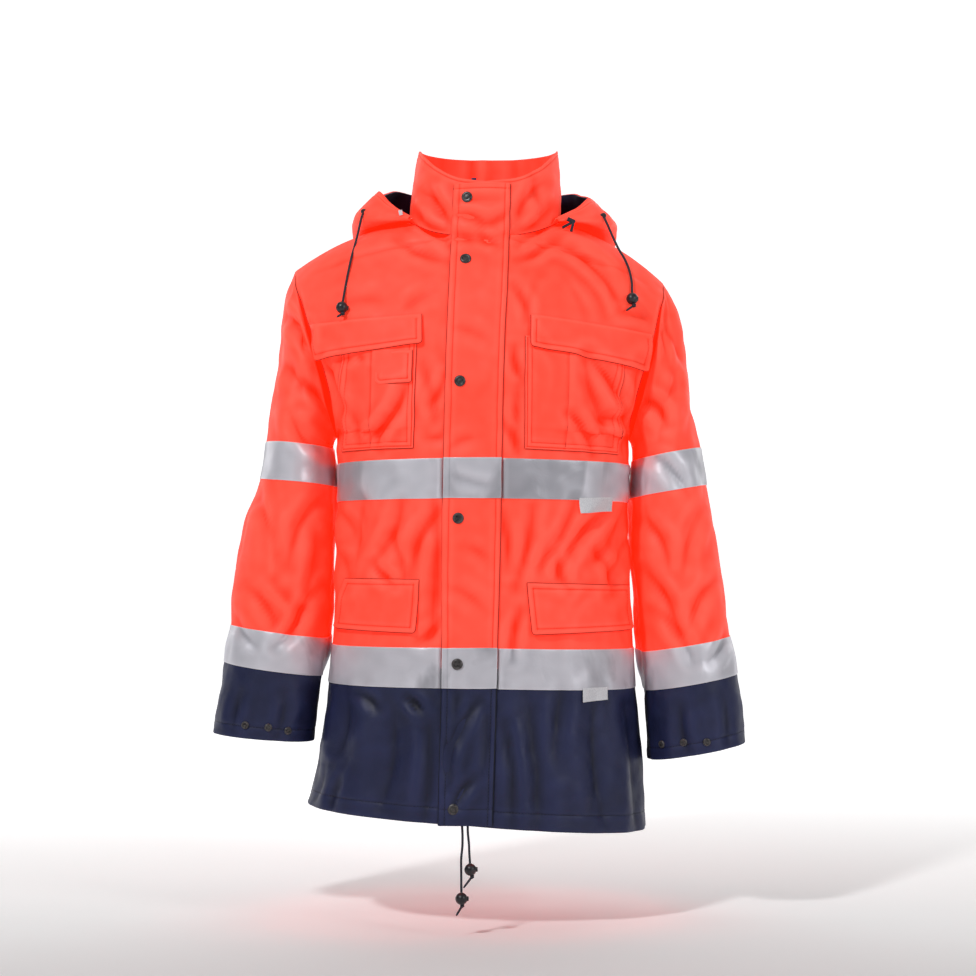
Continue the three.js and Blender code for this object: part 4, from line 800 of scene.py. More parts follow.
def on_sleeve(side, ring, col, height=0.0):
    grid = SLEEVES[side]
    points = on_grid(grid, ring, col, True)
    normals = grid_normal(grid, ring, col, True, -1 if side == "right" else 1)
    x, z = points[..., 0], points[..., 2]
    front = smoothstep(-normals[..., 1], 0.0, 0.5)
    back = smoothstep(normals[..., 1], 0.0, 0.5)
    relief = crease_height(SLEEVE_CREASES["front"], x, z) * front
    relief = relief + crease_height(SLEEVE_CREASES["back"], x, z) * back + wrinkles(points)
    relief = relief * smoothstep(ring, 0, 0.8) * SLEEVE_DEEPER
    relief = relief - ARMHOLE_DIP * (1 - smoothstep(ring, 0, 0.3)) * front * smoothstep(-z, 105, 180)
    return points + normals * (relief + height)[..., None], normals


# Collar: the neck seam, then rings up to the top edge.
COLLAR_TOP = table("turn reach z", [
    (0, 98, 39), (25, 98, 46), (50, 95, 69), (75, 91, 91), (95, 89, 96), (130, 88, 99), (180, 92, 102),
])
NECK_CENTRE = np.array([3.0, -10.0])
COLLAR_TOP_SHIFT = 5
COLLAR_SWELL = 3  # how far the stand swells half way up
COLLAR_RINGS = 4
COLLAR_HEIGHT, COLLAR_LENGTH, COLLAR_STITCH = 80, 560, 74
COLLAR_BACK_FOLDS = ((-14, 3.5), (0, -3.0), (42, 2.4))  # upright folds behind: x, height
FRONT_NECK_ROWS = (-30, -18, -6, 6, 18, 30)
BACK_NECK_ROWS = (18, 6, -6, -18)


def collar_grid():
    front_rows = np.array(FRONT_NECK_ROWS, float)
    back_rows = np.array(BACK_NECK_ROWS, float)
    base = np.concatenate([
        torso("front", -1, front_rows, 0.0), torso("back", -1, back_rows, 0.0),
        torso("back", 1, back_rows[-2::-1], 0.0), torso("front", 1, front_rows[::-1], 0.0),
    ])
    from_centre = base[:, :2] - NECK_CENTRE
    away = np.linalg.norm(from_centre, axis=1)
    turn = np.abs(np.degrees(np.arctan2(from_centre[:, 0], -from_centre[:, 1])))
    rings = [base]
    for k in range(1, COLLAR_RINGS + 1):
        up = k / COLLAR_RINGS
        reach = away + (COLLAR_TOP["reach"](turn) - away) * up + COLLAR_SWELL * math.sin(math.pi * up)
        level = NECK_CENTRE + from_centre / away[:, None] * reach[:, None]
        level[:, 0] += COLLAR_TOP_SHIFT * up
        z = base[:, 2] + (COLLAR_TOP["z"](turn) - base[:, 2]) * up
        rings.append(np.column_stack([level, z]))
    return np.array(rings)


COLLAR = collar_grid()
COLLAR_COLUMNS = COLLAR.shape[1] - 1
COLLAR_FRONT_HEIGHT = 77  # for a ring's first guess and the centre line's shift


def on_collar(ring, col, height=0.0):
    points = on_grid(COLLAR, ring, col)
    normals = grid_normal(COLLAR, ring, col, facing=-1)
    front = smoothstep(-normals[..., 1], 0.0, 0.5)
    relief = crease_height(CREASES["front"], points[..., 0], points[..., 2]) * front
    relief = (relief + wrinkles(points, 38, 1.6)) * smoothstep(ring, 0, 0.7)
    back = smoothstep(normals[..., 1], 0.0, 0.5) * smoothstep(ring, 1, 2.5)
    for x, deep in COLLAR_BACK_FOLDS:
        relief = relief + deep * back * np.exp(-(((points[..., 0] - x) / 7) ** 2))
    return points + normals * (relief + height)[..., None], normals


def locate_on_collar(x, z):
    x, z = np.broadcast_arrays(np.asarray(x, float), np.asarray(z, float))
    share = np.clip((z - NECK_FRONT) / COLLAR_FRONT_HEIGHT, 0, 1)
    is_right = x < COLLAR[0, 0, 0] + 1.2 * share * COLLAR_TOP_SHIFT
    ring = share * COLLAR_RINGS
    for _ in range(6):

        def is_short(at):
            place = on_grid(COLLAR, ring, np.where(is_right, at, COLLAR_COLUMNS - at))[..., 0]
            return np.where(is_right, place > x, place < x)

        col = bisect(is_short, np.zeros_like(x), np.full_like(x, 4.0), 20)
        col = np.where(is_right, col, COLLAR_COLUMNS - col)
        ring = np.clip(ring + (z - on_grid(COLLAR, ring, col)[..., 2]) / 19, 0, COLLAR_RINGS)
    return ring, col


# Building shells
def lines(length, step, marks=(), edge=(0.7, 1.8, 3.4)):
    """Distances along a length, closer together near both ends and at marked places."""
    inner = np.linspace(0, length, max(2, round(length / step) + 1))
    extra = [0, length, *edge, *[length - e for e in edge]]
    for mark in marks:
        extra += [mark - 1.1, mark, mark + 1.1]
    extra = np.array(sorted(e for e in extra if 0 <= e <= length))
    clear = [v for v in inner if np.min(np.abs(extra - v)) > 0.45 * step]
    return np.array(sorted([*extra, *clear]))


def groove(distance, at, depth=0.8, width=1.0):
    return -depth * np.exp(-(((distance - at) / width) ** 2))


def shell(outer, inner, wrap=False, flip=False):
    """Points and faces of a closed wall between two layers of points."""
    height, width = outer.shape[:2]
    points = np.concatenate([outer.reshape(-1, 3), inner.reshape(-1, 3)])
    faces = []

    def at(layer, i, j):
        return layer * height * width + i * width + j % width

    last = width if wrap else width - 1
    for j in range(last):
        for i in range(height - 1):
            faces.append((at(0, i, j), at(0, i, j + 1), at(0, i + 1, j + 1), at(0, i + 1, j)))
            faces.append((at(1, i, j), at(1, i + 1, j), at(1, i + 1, j + 1), at(1, i, j + 1)))
        faces.append((at(1, 0, j), at(1, 0, j + 1), at(0, 0, j + 1), at(0, 0, j)))
        top = height - 1
        faces.append((at(0, top, j), at(0, top, j + 1), at(1, top, j + 1), at(1, top, j)))
    if not wrap:
        for i in range(height - 1):
            faces.append((at(0, i, 0), at(0, i + 1, 0), at(1, i + 1, 0), at(1, i, 0)))
            side = width - 1
            faces.append((at(1, i, side), at(1, i + 1, side), at(0, i + 1, side), at(0, i, side)))
    if flip:
        faces = [tuple(reversed(face)) for face in faces]
    return points, faces


def layered(surface, place, heights, **ways):
    """Points and faces of a wall between two heights over a surface."""
    (outer, _), (inner, _) = (surface(*place, height) for height in heights)
    return shell(outer, inner, **ways)


def add_cloth(name, material, *parts):
    """A piece of cloth, which stands for the solid of its name."""
    add_mesh(f"{name}_cloth", *join(parts), material, [name])


def edge_dip(distance, depth=1.0, width=2.6):
    """How far a panel's face sinks into its seam."""
    return -depth * (1 - smoothstep(distance, 0, width))


# Stitches, and the dark tubes of painted shadow lines, by material.
stitches_and_shadow_lines = {ORANGE_THREAD: [], NAVY_THREAD: [], ORANGE_SHADOW_LINE: [], NAVY_SHADOW_LINE: []}
STITCH = 2.9
STITCH_GAP = 1.1
THREAD_RADIUS = 0.3
STITCH_FACES = [(0, 1, 2), (0, 2, 3), (0, 3, 4), (0, 4, 1), (5, 2, 1), (5, 3, 2), (5, 4, 3), (5, 1, 4)]


def sew(points, normals, material):
    """A row of stitches along a line of points that lie on cloth."""
    points = np.asarray(points)
    steps = np.linalg.norm(np.diff(points, axis=0), axis=1)
    reach = np.concatenate([[0], np.cumsum(steps)])
    starts = np.arange(1.0, reach[-1] - STITCH, STITCH + STITCH_GAP)

    def sample(values, at):
        return np.stack([np.interp(at, reach, values[:, n]) for n in range(3)], -1)

    first, last = sample(points, starts), sample(points, starts + STITCH)
    middle = sample(points, starts + STITCH / 2)
    normal = unit(sample(np.asarray(normals), starts + STITCH / 2))
    for a, b, m, n in zip(first, last, middle, normal):
        side = unit(np.cross(b - a, n)) * THREAD_RADIUS
        up = n * THREAD_RADIUS
        body = [m + up * 0.5 + r for r in (side, up * 1.1, -side, -up)]
        stitches_and_shadow_lines[material].append((np.array([a - up * 0.6, *body, b - up * 0.6]), STITCH_FACES))


def seam(points, normals, material, radius=0.5):
    """A painted shadow line: a thin dark tube at the foot of a raised edge, or in a seam, where shade falls.
    """
    points = np.asarray(points)
    up = unit(np.asarray(normals)) * radius
    side = unit(np.cross(np.gradient(points, axis=0), up)) * radius
    rings = np.stack([points + side, points + up, points - side, points - up], 1).reshape(-1, 3)
    end = len(rings) - 4
    caps = [(3, 2, 1, 0), (end, end + 1, end + 2, end + 3)]
    stitches_and_shadow_lines[material].append((rings, band_faces(len(points), 4) + caps))


# Shell panels of the torso
HEM_STITCH, CUFF_STITCH = 20, 22  # from the edge
PANEL_STEPS = {"front": 3.9, "back": 4.6}


def panel(name, face, signs, row_from, row_to, material):
    """A front, or a back made of both its halves."""
    is_hem = row_from == HEM
    step = PANEL_STEPS[face]
    row_lines = row_from + lines(row_to - row_from, step, marks=[HEM_STITCH] if is_hem else [])
    row, t = np.meshgrid(row_lines, lines(HALF_GIRTH, step) / HALF_GIRTH, indexing="ij")
    dip = edge_dip((1 - t) * HALF_GIRTH) + edge_dip(row - row_from) + edge_dip(row_to - row)
    if face == "front":
        dip = dip + edge_dip(t * HALF_GIRTH)
    if is_hem:
        dip = dip + groove(row - HEM, HEM_STITCH)
    add_cloth(name, material, *(
        layered(cloth, (face, sign, row, t), (dip, -SHELL), flip=(sign < 0) == (face == "front"))
        for sign in signs
    ))


PLACES = (("right", "front", (-1,)), ("left", "front", (1,)), ("back", "back", (-1, 1)))
for place, face, signs in PLACES:
    for part, row_from, row_to, material in (("upper", SPLIT, SHOULDER, ORANGE), ("hem", HEM, SPLIT, NAVY)):
        name = f"front_{place}_{part}" if face == "front" else f"back_{part}"
        panel(name, face, signs, row_from, row_to, material)


def tube(name, side, ring_from, ring_to, layers, material, step=4.6, marks=()):
    """A sleeve piece between two rings; layers are its outer and inner heights."""
    length = RING_PITCH * (ring_to - ring_from)
    ring_lines = ring_from + lines(length, step, marks) / RING_PITCH
    col_lines = np.linspace(0, SLEEVES[side].shape[1], 110, endpoint=False)
    ring, col = np.meshgrid(ring_lines, col_lines, indexing="ij")
    along = (ring - ring_from) * RING_PITCH
    dip = edge_dip(along, 0.8) + edge_dip(length - along, 0.8)
    for mark in marks:
        dip = dip + groove(along, mark)
    if layers[0] > 0:
        dip = dip * 0.3
    heights = (layers[0] + dip, layers[1])
    part = layered(on_sleeve, (side, ring, col), heights, wrap=True, flip=side == "right")
    add_cloth(name, material, part)


tape_layers = (LAID + TAPE_WALL, LAID)
cuff_marks = [RING_PITCH * (LAST_RING - CUFF_RING) - CUFF_STITCH]
for side in ("right", "left"):
    for name, rings, layers, material, marks in (
        (f"sleeve_{side}", (0, CUFF_RING), (0, -SHELL), ORANGE, ()),
        (f"cuff_{side}", (CUFF_RING, LAST_RING), (0, -SHELL), NAVY, cuff_marks),
        (f"sleeve_tape_upper_{side}", UPPER_TAPE_RINGS, tape_layers, SILVER, ()),
        (f"sleeve_tape_lower_{side}", LOWER_TAPE_RINGS, tape_layers, SILVER, ()),
    ):
        tube(name, side, *rings, layers, material, marks=marks)

# Collar
ring_lines = lines(COLLAR_HEIGHT, 3.2, marks=[COLLAR_STITCH]) / COLLAR_HEIGHT * COLLAR_RINGS
col_lines = lines(COLLAR_LENGTH, 4.2) / COLLAR_LENGTH * COLLAR_COLUMNS
ring, col = np.meshgrid(ring_lines, col_lines, indexing="ij")
above_neck = ring * COLLAR_HEIGHT / COLLAR_RINGS
dip = edge_dip(above_neck) + 0.5 * edge_dip(COLLAR_HEIGHT - above_neck) + groove(above_neck, COLLAR_STITCH)
add_cloth("collar", ORANGE, layered(on_collar, (ring, col), (dip, -SHELL), flip=True))
stitch_ring = COLLAR_STITCH / COLLAR_HEIGHT * COLLAR_RINGS
sew(*on_collar(np.full(160, stitch_ring), np.linspace(0.2, COLLAR_COLUMNS - 0.2, 160), -0.3), ORANGE_THREAD)

# Storm flap: a strip over the zip, as one height field over the front and the collar.
FIELD_STEP = 3.0
FIELD_X = np.arange(-64.0, 48.0, FIELD_STEP)
FIELD_Z = np.arange(-764.0, 50.0, FIELD_STEP)


def storm_field():
    x, z = np.meshgrid(FIELD_X, FIELD_Z)
    is_collar = z > NECK_FRONT
    body, _ = on_front(x, np.clip(z, HEM, NECK_FRONT - 1))
    ring, col = locate_on_collar(x, np.maximum(z, NECK_FRONT))
    neck, _ = on_collar(ring, col)
    y = np.where(is_collar, neck[..., 1], body[..., 1])
    for _ in range(6):  # soften the bend at the neck seam and what lies under the strip
        smooth = y.copy()
        smooth[1:-1] = (y[:-2] + 2 * y[1:-1] + y[2:]) / 4
        smooth[:, 1:-1] = (smooth[:, :-2] + 2 * smooth[:, 1:-1] + smooth[:, 2:]) / 4
        y = smooth
    return y


STORM_Y = storm_field()
# Short creases of the strip itself: as in CREASES.
STORM_CREASES = [
    (-34, -2, 6, -16, 5, 3.0, 3), (6, -14, 32, 0, 5, 2.4, -3), (-38, -34, 2, -40, 5, 2.2, 3),
    (-6, -22, 22, -44, 5, 2.8, -3), (-30, 12, 24, 16, 7, 1.4, 2), (-36, -150, 10, -166, 9, 1.4, 3),
    (-40, -300, -8, -286, 8, 1.4, 3), (-36, -330, 16, -346, 7, 1.4, -3), (-40, -470, 4, -500, 9, 1.6, 4),
    (-4, -612, -44, -694, 8, 3.6, -6), (-10, -706, -36, -746, 6, 2.8, -3), (-48, -650, -40, -720, 5, 2.0, 2),
    (6, -620, 2, -700, 7, 2.0, 3), (-30, -600, -36, -640, 6, 1.8, 2), (-20, -420, 10, -440, 8, 1.2, 3),
]


def storm_surface(x, z, height=0.0):
    x, z = np.broadcast_arrays(np.asarray(x, float), np.asarray(z, float))

    def depth(at_x, at_z):
        u = np.clip((at_x - FIELD_X[0]) / FIELD_STEP, 0, len(FIELD_X) - 1.001)
        v = np.clip((at_z - FIELD_Z[0]) / FIELD_STEP, 0, len(FIELD_Z) - 1.001)
        i, j = v.astype(int), u.astype(int)
        a, b = v - i, u - j
        near = STORM_Y[i, j] * (1 - b) + STORM_Y[i, j + 1] * b
        far = STORM_Y[i + 1, j] * (1 - b) + STORM_Y[i + 1, j + 1] * b
        return near * (1 - a) + far * a

    y = depth(x, z)
    slope_x = (depth(x + FIELD_STEP, z) - depth(x - FIELD_STEP, z)) / (2 * FIELD_STEP)
    slope_z = (depth(x, z + FIELD_STEP) - depth(x, z - FIELD_STEP)) / (2 * FIELD_STEP)
    normals = unit(np.stack([slope_x, -np.ones_like(x), slope_z], -1))
    points = np.stack([x, y, z], -1)
    relief = crease_height(STORM_CREASES, x, z) + wrinkles(points, 30, 0.5)
    return points + normals * (relief + height)[..., None], normals


STORM_TOP = STORM_FLAP_LIFT + STORM_FLAP_WALL
STITCH_IN = 7.0  # topstitching's distance from an edge
STRIP = 66  # the strip's breadth, along which its stitch lines are placed
STRIP_STITCHES = (STITCH_IN, 60)
NECK_TOP = 37.0


def storm_strip(name, z_from, z_to, heights, material, marks=()):
    """Part of the strip between two heights; its stitched edge is on the wearer's right."""
    z_lines = z_from + lines(z_to - z_from, 3.6, marks)
    z, across = np.meshgrid(z_lines, lines(STRIP, 3.4, marks=STRIP_STITCHES), indexing="ij")
    left, right = STORM_FLAP["left"](z), STORM_FLAP["right"](z)
    x = right + (left - right) * (across / STRIP)
    height = np.full_like(x, heights[0])
    if material is SILVER:
        height += 0.6 * groove(across, STITCH_IN)
    else:
        for at in STRIP_STITCHES:
            height += groove(across, at)
        height -= 0.9 * (1 - smoothstep(across, 0, 1.8)) + 1.6 * smoothstep(across, STRIP - 3, STRIP)
    for mark in marks:
        height += groove(z - z_from, mark)
    add_cloth(name, material, layered(storm_surface, (x, z), (height, heights[1])))


strip_layers = (STORM_TOP, STORM_FLAP_LIFT - 0.6)
storm_strip("storm_flap_upper", SPLIT, NECK_TOP, strip_layers, ORANGE, [NECK_TOP - SPLIT - STITCH_IN])
storm_strip("storm_flap_lower", HEM, SPLIT - 0.4, strip_layers, NAVY, [HEM_STITCH])
for z_from, z_to, material in ((SPLIT, NECK_TOP - STITCH_IN, ORANGE_THREAD), (HEM + 2, SPLIT, NAVY_THREAD)):
    z = np.arange(z_from, z_to, 4.0)
    for at in STRIP_STITCHES:
        x = STORM_FLAP["right"](z) * (1 - at / STRIP) + STORM_FLAP["left"](z) * at / STRIP
        sew(*storm_surface(x, z, STORM_TOP - 0.2), material)
# Painted shadow lines: dark tubes along both edges of the storm flap, where it casts shade on the front.
for z_from, z_to, material in ((SPLIT, NECK_TOP, ORANGE_SHADOW_LINE), (HEM, SPLIT, NAVY_SHADOW_LINE)):
    z = np.arange(z_from + 0.5, z_to, 3.0)
    for edge, out in (("right", -0.3), ("left", 0.3)):
        seam(*storm_surface(STORM_FLAP[edge](z) + out, z, STORM_FLAP_LIFT + 0.5), material, 0.6)
top_x = np.linspace(STORM_FLAP["right"](NECK_TOP) + STITCH_IN, STORM_FLAP["left"](NECK_TOP) - 2, 24)
sew(*storm_surface(top_x, np.full(24, NECK_TOP - STITCH_IN), STORM_TOP - 0.2), ORANGE_THREAD)


# Patches on the fronts.
def rounded(u, v, width, height, radii):
    """Moves the points of a rectangle so that its corners are round: radii from the lower left on."""
    x, z = u * width, v * height
    corners = ((0, 0), (1, 0), (1, 1), (0, 1))
    for (cx, cz), radius in zip(corners, radii):
        if not radius:
            continue
        from_x = x if cx == 0 else width - x
        from_z = z if cz == 0 else height - z
        qx, qz = np.clip(radius - from_x, 0, None), np.clip(radius - from_z, 0, None)
        inside = (qx > 0) & (qz > 0)
        scale = np.where(inside, np.maximum(qx, qz) / np.maximum(np.hypot(qx, qz), 1e-6), 1)
        new_x, new_z = radius - qx * scale, radius - qz * scale
        x = np.where(inside, new_x if cx == 0 else width - new_x, x)
        z = np.where(inside, new_z if cz == 0 else height - new_z, z)
    return x / width, z / height


def between(corners, u, v):
    """A point of the four-sided field between corners: lower left, lower right, upper right, left."""
    a, b, c, d = (np.array(corner, float) for corner in corners)
    u, v = u[..., None], v[..., None]
    low, high = a + (b - a) * u, d + (c - d) * u
    return low + (high - low) * v


def front_patch(name, corners, base, wall, material, rise, step=3.2, radii=(0, 0, 0, 0),
                stitch=(), sewn="ldr", pleats=()):
    """A patch on the front. rise(x, y) is its own form, with x and y in millimetres from the lower
    left corner; stitch gives distances of stitch lines from the edges named in sewn."""
    a, b, c, d = (np.array(corner, float) for corner in corners)
    width = (np.linalg.norm(b - a) + np.linalg.norm(c - d)) / 2
    height = (np.linalg.norm(d - a) + np.linalg.norm(c - b)) / 2

    def place(x, y):
        return between(corners, *rounded(x / width, y / height, width, height, radii))

    def beside(edge, inset, start, count):
        """A line along an edge, in millimetres from the lower left corner."""
        fixed = {"l": inset, "r": width - inset, "d": inset, "u": height - inset}[edge]
        along = np.linspace(start, (height if edge in "lr" else width) - start, count)
        level = np.full(count, fixed)
        return (level, along) if edge in "lr" else (along, level)

    def at_height(x, y, above, share=1.0):
        spot = place(x, y)
        lifted = rise(np.clip(x, 0, width), np.clip(y, 0, height)) * share
        return on_front(spot[..., 0], spot[..., 1], base + above + lifted)

    side_marks = [m for s in stitch for m in (s, width - s)] + list(pleats)
    level_marks = [m for s in stitch for m in (s, height - s)]
    up, along = np.meshgrid(lines(height, step, level_marks), lines(width, step, side_marks), indexing="ij")
    edges = {"l": along, "r": width - along, "d": up, "u": height - up}
    form = -0.55 * wall * (1 - smoothstep(np.minimum.reduce(list(edges.values())), 0, 1.7))
    for distance in stitch:
        for edge in sewn:
            is_beside = np.minimum.reduce([edges[e] for e in edges if e != edge]) >= distance - 0.6
            form = form + groove(edges[edge], distance) * is_beside
            sew(*at_height(*beside(edge, distance, distance, 60), wall - 0.2), ORANGE_THREAD)
    spot = place(along, up)
    side, row, t = locate("front", spot[..., 0], spot[..., 1])
    lift = rise(along, up)
    heights = (base + wall + form + lift, base + 0.9 * lift)
    # Painted shadow lines: a dark tube at the foot of each sewn edge.
    for edge in sewn if stitch else ():
        seam(*at_height(*beside(edge, -0.3, 0, 90), 0.1, 0.9), ORANGE_SHADOW_LINE, 0.55)
    # Painted shadow lines: a dark tube in each pleat.
    for x in pleats:
        seam(*at_height(np.full(90, x), np.linspace(0.03, 0.97, 90) * height, wall - 0.25), ORANGE_SHADOW_LINE, 0.4)
    add_cloth(name, material, layered(cloth, ("front", side, row, t), heights))


def pocket_rise(width, height, pleat):
    """A patch pocket: full in its middle and lower half, with one pressed pleat."""

    def rise(x, y):
        full = 2.6 * np.sin(np.pi * np.clip(x / width, 0, 1))
        full = full * np.sin(np.pi * np.clip(y / height, 0, 1)) ** 0.7
        step = 0.9 * smoothstep(x, pleat - 1, pleat + 0.4) * (1 - smoothstep(x, pleat + 14, pleat + 40))
        return full + step - 0.9 * np.exp(-(((x - pleat) / 1.3) ** 2))

    return rise


def flap_rise(height, reach, lean=0.0, width=120.0):
    """A pocket flap: sewn flat along its top, and standing off towards its lower edge."""

    def rise(x, y):
        down = np.clip(1 - y / height, 0, 1)
        wave = 0.6 * np.sin(x / 17.0) + 0.5 * np.sin(x / 9.0 + 2)
        return reach * down**1.6 * (1 + lean * (x / width - 0.5)) + wave * down**1.4

    return rise


POCKET_BASE = 0.9
FLAP_BASE = POCKET_BASE + PATCH_WALL + 0.3
PATCHES = [
    ("chest_pocket_right", [(-174, -300), (-84, -299), (-80, -160), (-174, -158)], POCKET_BASE, PATCH_WALL,
     pocket_rise(92, 140, 38), {"stitch": (2.5, 8), "pleats": [38]}),
    ("chest_pocket_left", [(53, -300), (170, -304), (178, -164), (54, -160)], POCKET_BASE, PATCH_WALL,
     pocket_rise(118, 140, 52), {"stitch": (2.5, 8), "pleats": [52]}),
    ("chest_flap_right", [(-210, -184), (-73, -170), (-74, -133), (-215, -140)], FLAP_BASE, FLAP_WALL,
     flap_rise(42, 4.2, -0.3, 140), {"stitch": (6.5,), "radii": (5, 4, 0, 0)}),
    ("chest_flap_left", [(60, -174), (209, -198), (214, -152), (61, -134)], FLAP_BASE, FLAP_WALL,
     flap_rise(44, 4.2, 0.2, 150), {"stitch": (6.5,), "radii": (4, 5, 0, 0)}),
    ("pen_flap", [(-131, -219), (-85, -218), (-85, -178), (-132, -178)], FLAP_BASE, 1.5,
     flap_rise(41, 2.4, 0, 46), {"stitch": (5,), "radii": (9, 3, 0, 0)}),
    ("lower_flap_right", [(-185, -524), (-81, -528), (-77, -462), (-175, -461)], LAID, FLAP_WALL,
     flap_rise(65, 4.6, 0.2, 100), {"stitch": (6.5,), "sewn": "ldru", "radii": (4, 4, 0, 0)}),
    ("lower_flap_left", [(62, -530), (189, -526), (187, -470), (56, -466)], LAID, FLAP_WALL,
     flap_rise(62, 4.6, -0.2, 130), {"stitch": (6.5,), "sewn": "ldru", "radii": (4, 4, 0, 0)}),
]
TAG_BASE = 1.5
TAGS = {
    "tag_chest": [(121, -379), (161, -376), (162, -358), (121, -360)],
    "tag_hem": [(124, -615), (156, -613), (156, -597), (124, -597)],
}
for name, corners, base, wall, rise, options in PATCHES:
    front_patch(name, corners, base, wall, ORANGE, rise, **options)
for name, corners in TAGS.items():
    front_patch(name, corners, TAG_BASE, TAPE_WALL, WHITE, flap_rise(18, 1.2, 0, 40), step=2)


# Tapes of the torso, which stop at the storm flap and at the side seams.
def torso_tape(face, sign, row_from, row_to, step=3.6):
    count = round(HALF_GIRTH / step)
    row_lines = row_from + lines(row_to - row_from, step)
    row = np.repeat(row_lines[:, None], count, axis=1)
    t_in = np.zeros(len(row_lines))
    if face == "front":
        x_in = STORM_FLAP["right" if sign < 0 else "left"](row_lines) + sign * 0.8
        _, _, t_in = locate("front", x_in, row_lines)
    t = t_in[:, None] + (0.997 - t_in[:, None]) * np.linspace(0, 1, count)[None, :]
    dip = 0.3 * (edge_dip(row - row_from, 0.8) + edge_dip(row_to - row, 0.8))
    heights = (LAID + TAPE_WALL + dip, LAID)
    return layered(cloth, (face, sign, row, t), heights, flip=(sign < 0) == (face == "front"))


for band, row_from, row_to in (("chest_tape", -361, -311), ("lower_tape", -596, -546)):
    for place, face, signs in PLACES:
        parts = [torso_tape(face, sign, row_from, row_to) for sign in signs]
        add_cloth(f"{band}_{place}", SILVER, *parts)
    layers = (STORM_TOP + LAID + TAPE_WALL, STORM_TOP + LAID)
    storm_strip(f"{band}_storm_flap", row_from, row_to, layers, SILVER)

# Hood, folded down behind the collar as a pouch that is open at the top.
HOOD = table("turn rIn zIn rFold zFold rOut zOut rRim zRim", [
    (0, 150, -58, 178, -205, 214, -112, 168, 52), (30, 157, -32, 191, -182, 218, -98, 168, 60),
    (42, 156, -12, 204, -130, 222, -68, 164, 64), (55, 148, 0, 196, -58, 208, -24, 156, 58),
    (66, 141, 6, 182, -14, 190, 4, 149, 50), (80, 132, 8, 168, -4, 174, 12, 142, 44),
    (98, 122, 6, 150, -6, 156, 9, 131, 38), (110, 112, 4, 128, -3, 131, 5, 118, 11),
    (118, 104, 1, 108, -2, 110, 1, 106, 2),
])
HOOD_REACH = 118
HOOD_SECTIONS = 20
HOOD_POINTS = 9
HOOD_SEAM_OUT = 3
HOOD_SEAM_UP = 4
NECK_FALLBACK = (96.0, -8.0)  # past the seam's ends: radius, height
HOOD_LEFT_DROP = 8
HOOD_SECTION_PITCH, HOOD_POINT_PITCH = 32, 34
HOOD_STITCH = 18  # from the rim


def neck_seam(turn):
    """Radius and height of the neck seam at a bearing from straight behind."""
    ring = COLLAR[0]
    bearing = np.degrees(np.arctan2(ring[:, 0] - NECK_CENTRE[0], ring[:, 1] - NECK_CENTRE[1]))
    for n in range(1, len(ring) - 2):
        if bearing[n] <= turn <= bearing[n + 1]:
            part = (turn - bearing[n]) / (bearing[n + 1] - bearing[n])
            point = ring[n] + (ring[n + 1] - ring[n]) * part
            return np.linalg.norm(point[:2] - NECK_CENTRE), point[2]
    return NECK_FALLBACK


def hood_grid():
    grid = []
    for turn in np.linspace(-HOOD_REACH, HOOD_REACH, HOOD_SECTIONS + 1):
        bend = abs(turn)
        r, z = neck_seam(turn)
        drop = HOOD_LEFT_DROP * smoothstep(turn, 20, 80) if turn > 0 else 0
        rim_drop = drop * min(1, HOOD["zRim"](bend) / 30)
        section = [(r + HOOD_SEAM_OUT, 0, z + HOOD_SEAM_UP)]
        for part, lower in (("In", 0), ("Fold", 0), ("Out", drop / 2), ("Rim", rim_drop)):
            section.append((HOOD[f"r{part}"](bend), 0, HOOD[f"z{part}"](bend) - lower))
        fine = curve_through(section, 80)
        reach = np.concatenate([[0], np.cumsum(np.linalg.norm(np.diff(fine, axis=0), axis=1))])
        even = np.linspace(0, reach[-1], HOOD_POINTS)
        radius, level = np.interp(even, reach, fine[:, 0]), np.interp(even, reach, fine[:, 2])
        angle = math.radians(turn)
        grid.append(np.column_stack([
            NECK_CENTRE[0] + radius * math.sin(angle), NECK_CENTRE[1] + radius * math.cos(angle), level,
        ]))
    return np.array(grid)


HOOD_GRID = hood_grid()


def on_hood(section, point, height=0.0):
    points = on_grid(HOOD_GRID, section, point)
    normals = grid_normal(HOOD_GRID, section, point)
    ends = smoothstep(section, 0, 1.2) * smoothstep(HOOD_SECTIONS - section, 0, 1.2)
    relief = wrinkles(points, 40, 2.6) * ends * smoothstep(point, 4.2, 6)
    return points + normals * (relief + height)[..., None], normals


def hood_layer(name, section_from, section_to, heights, material):
    length = (HOOD_POINTS - 1) * HOOD_POINT_PITCH
    breadth = (section_to - section_from) * HOOD_SECTION_PITCH
    sections = section_from + lines(breadth, 4.4) / HOOD_SECTION_PITCH
    points = lines(length, 4.4, marks=[length - HOOD_STITCH]) / HOOD_POINT_PITCH
    section, point = np.meshgrid(sections, points, indexing="ij")
    dip = groove(point * HOOD_POINT_PITCH, length - HOOD_STITCH) if material is ORANGE else 0
    add_cloth(name, material, layered(on_hood, (section, point), (heights[0] + dip, heights[1])))


hood_layer("hood_shell", 0, HOOD_SECTIONS, (HOOD_WALL, 0), ORANGE)
hood_layer("hood_lining", 1, HOOD_SECTIONS - 1, (-HOOD_GAP, -HOOD_GAP - HOOD_WALL), NAVY)


# Press studs: a cap with a rolled rim and a shallow dish, as (height, share of the radius).
STUD_CAP = [
    (-0.2, 0.9), (0.0, 1.0), (0.7, 1.0), (1.3, 0.96), (1.9, 0.86), (2.2, 0.72), (2.0, 0.6), (1.8, 0.5),
    (2.0, 0.34), (2.1, 0.04),
]


def press_stud(place, place_at, normal, radius):
    profile = [(level, radius * share) for level, share in STUD_CAP]
    return add_mesh(f"stud_{place}", *lathe(place_at, normal, profile, 32), STUD, [f"snap_{place}"])


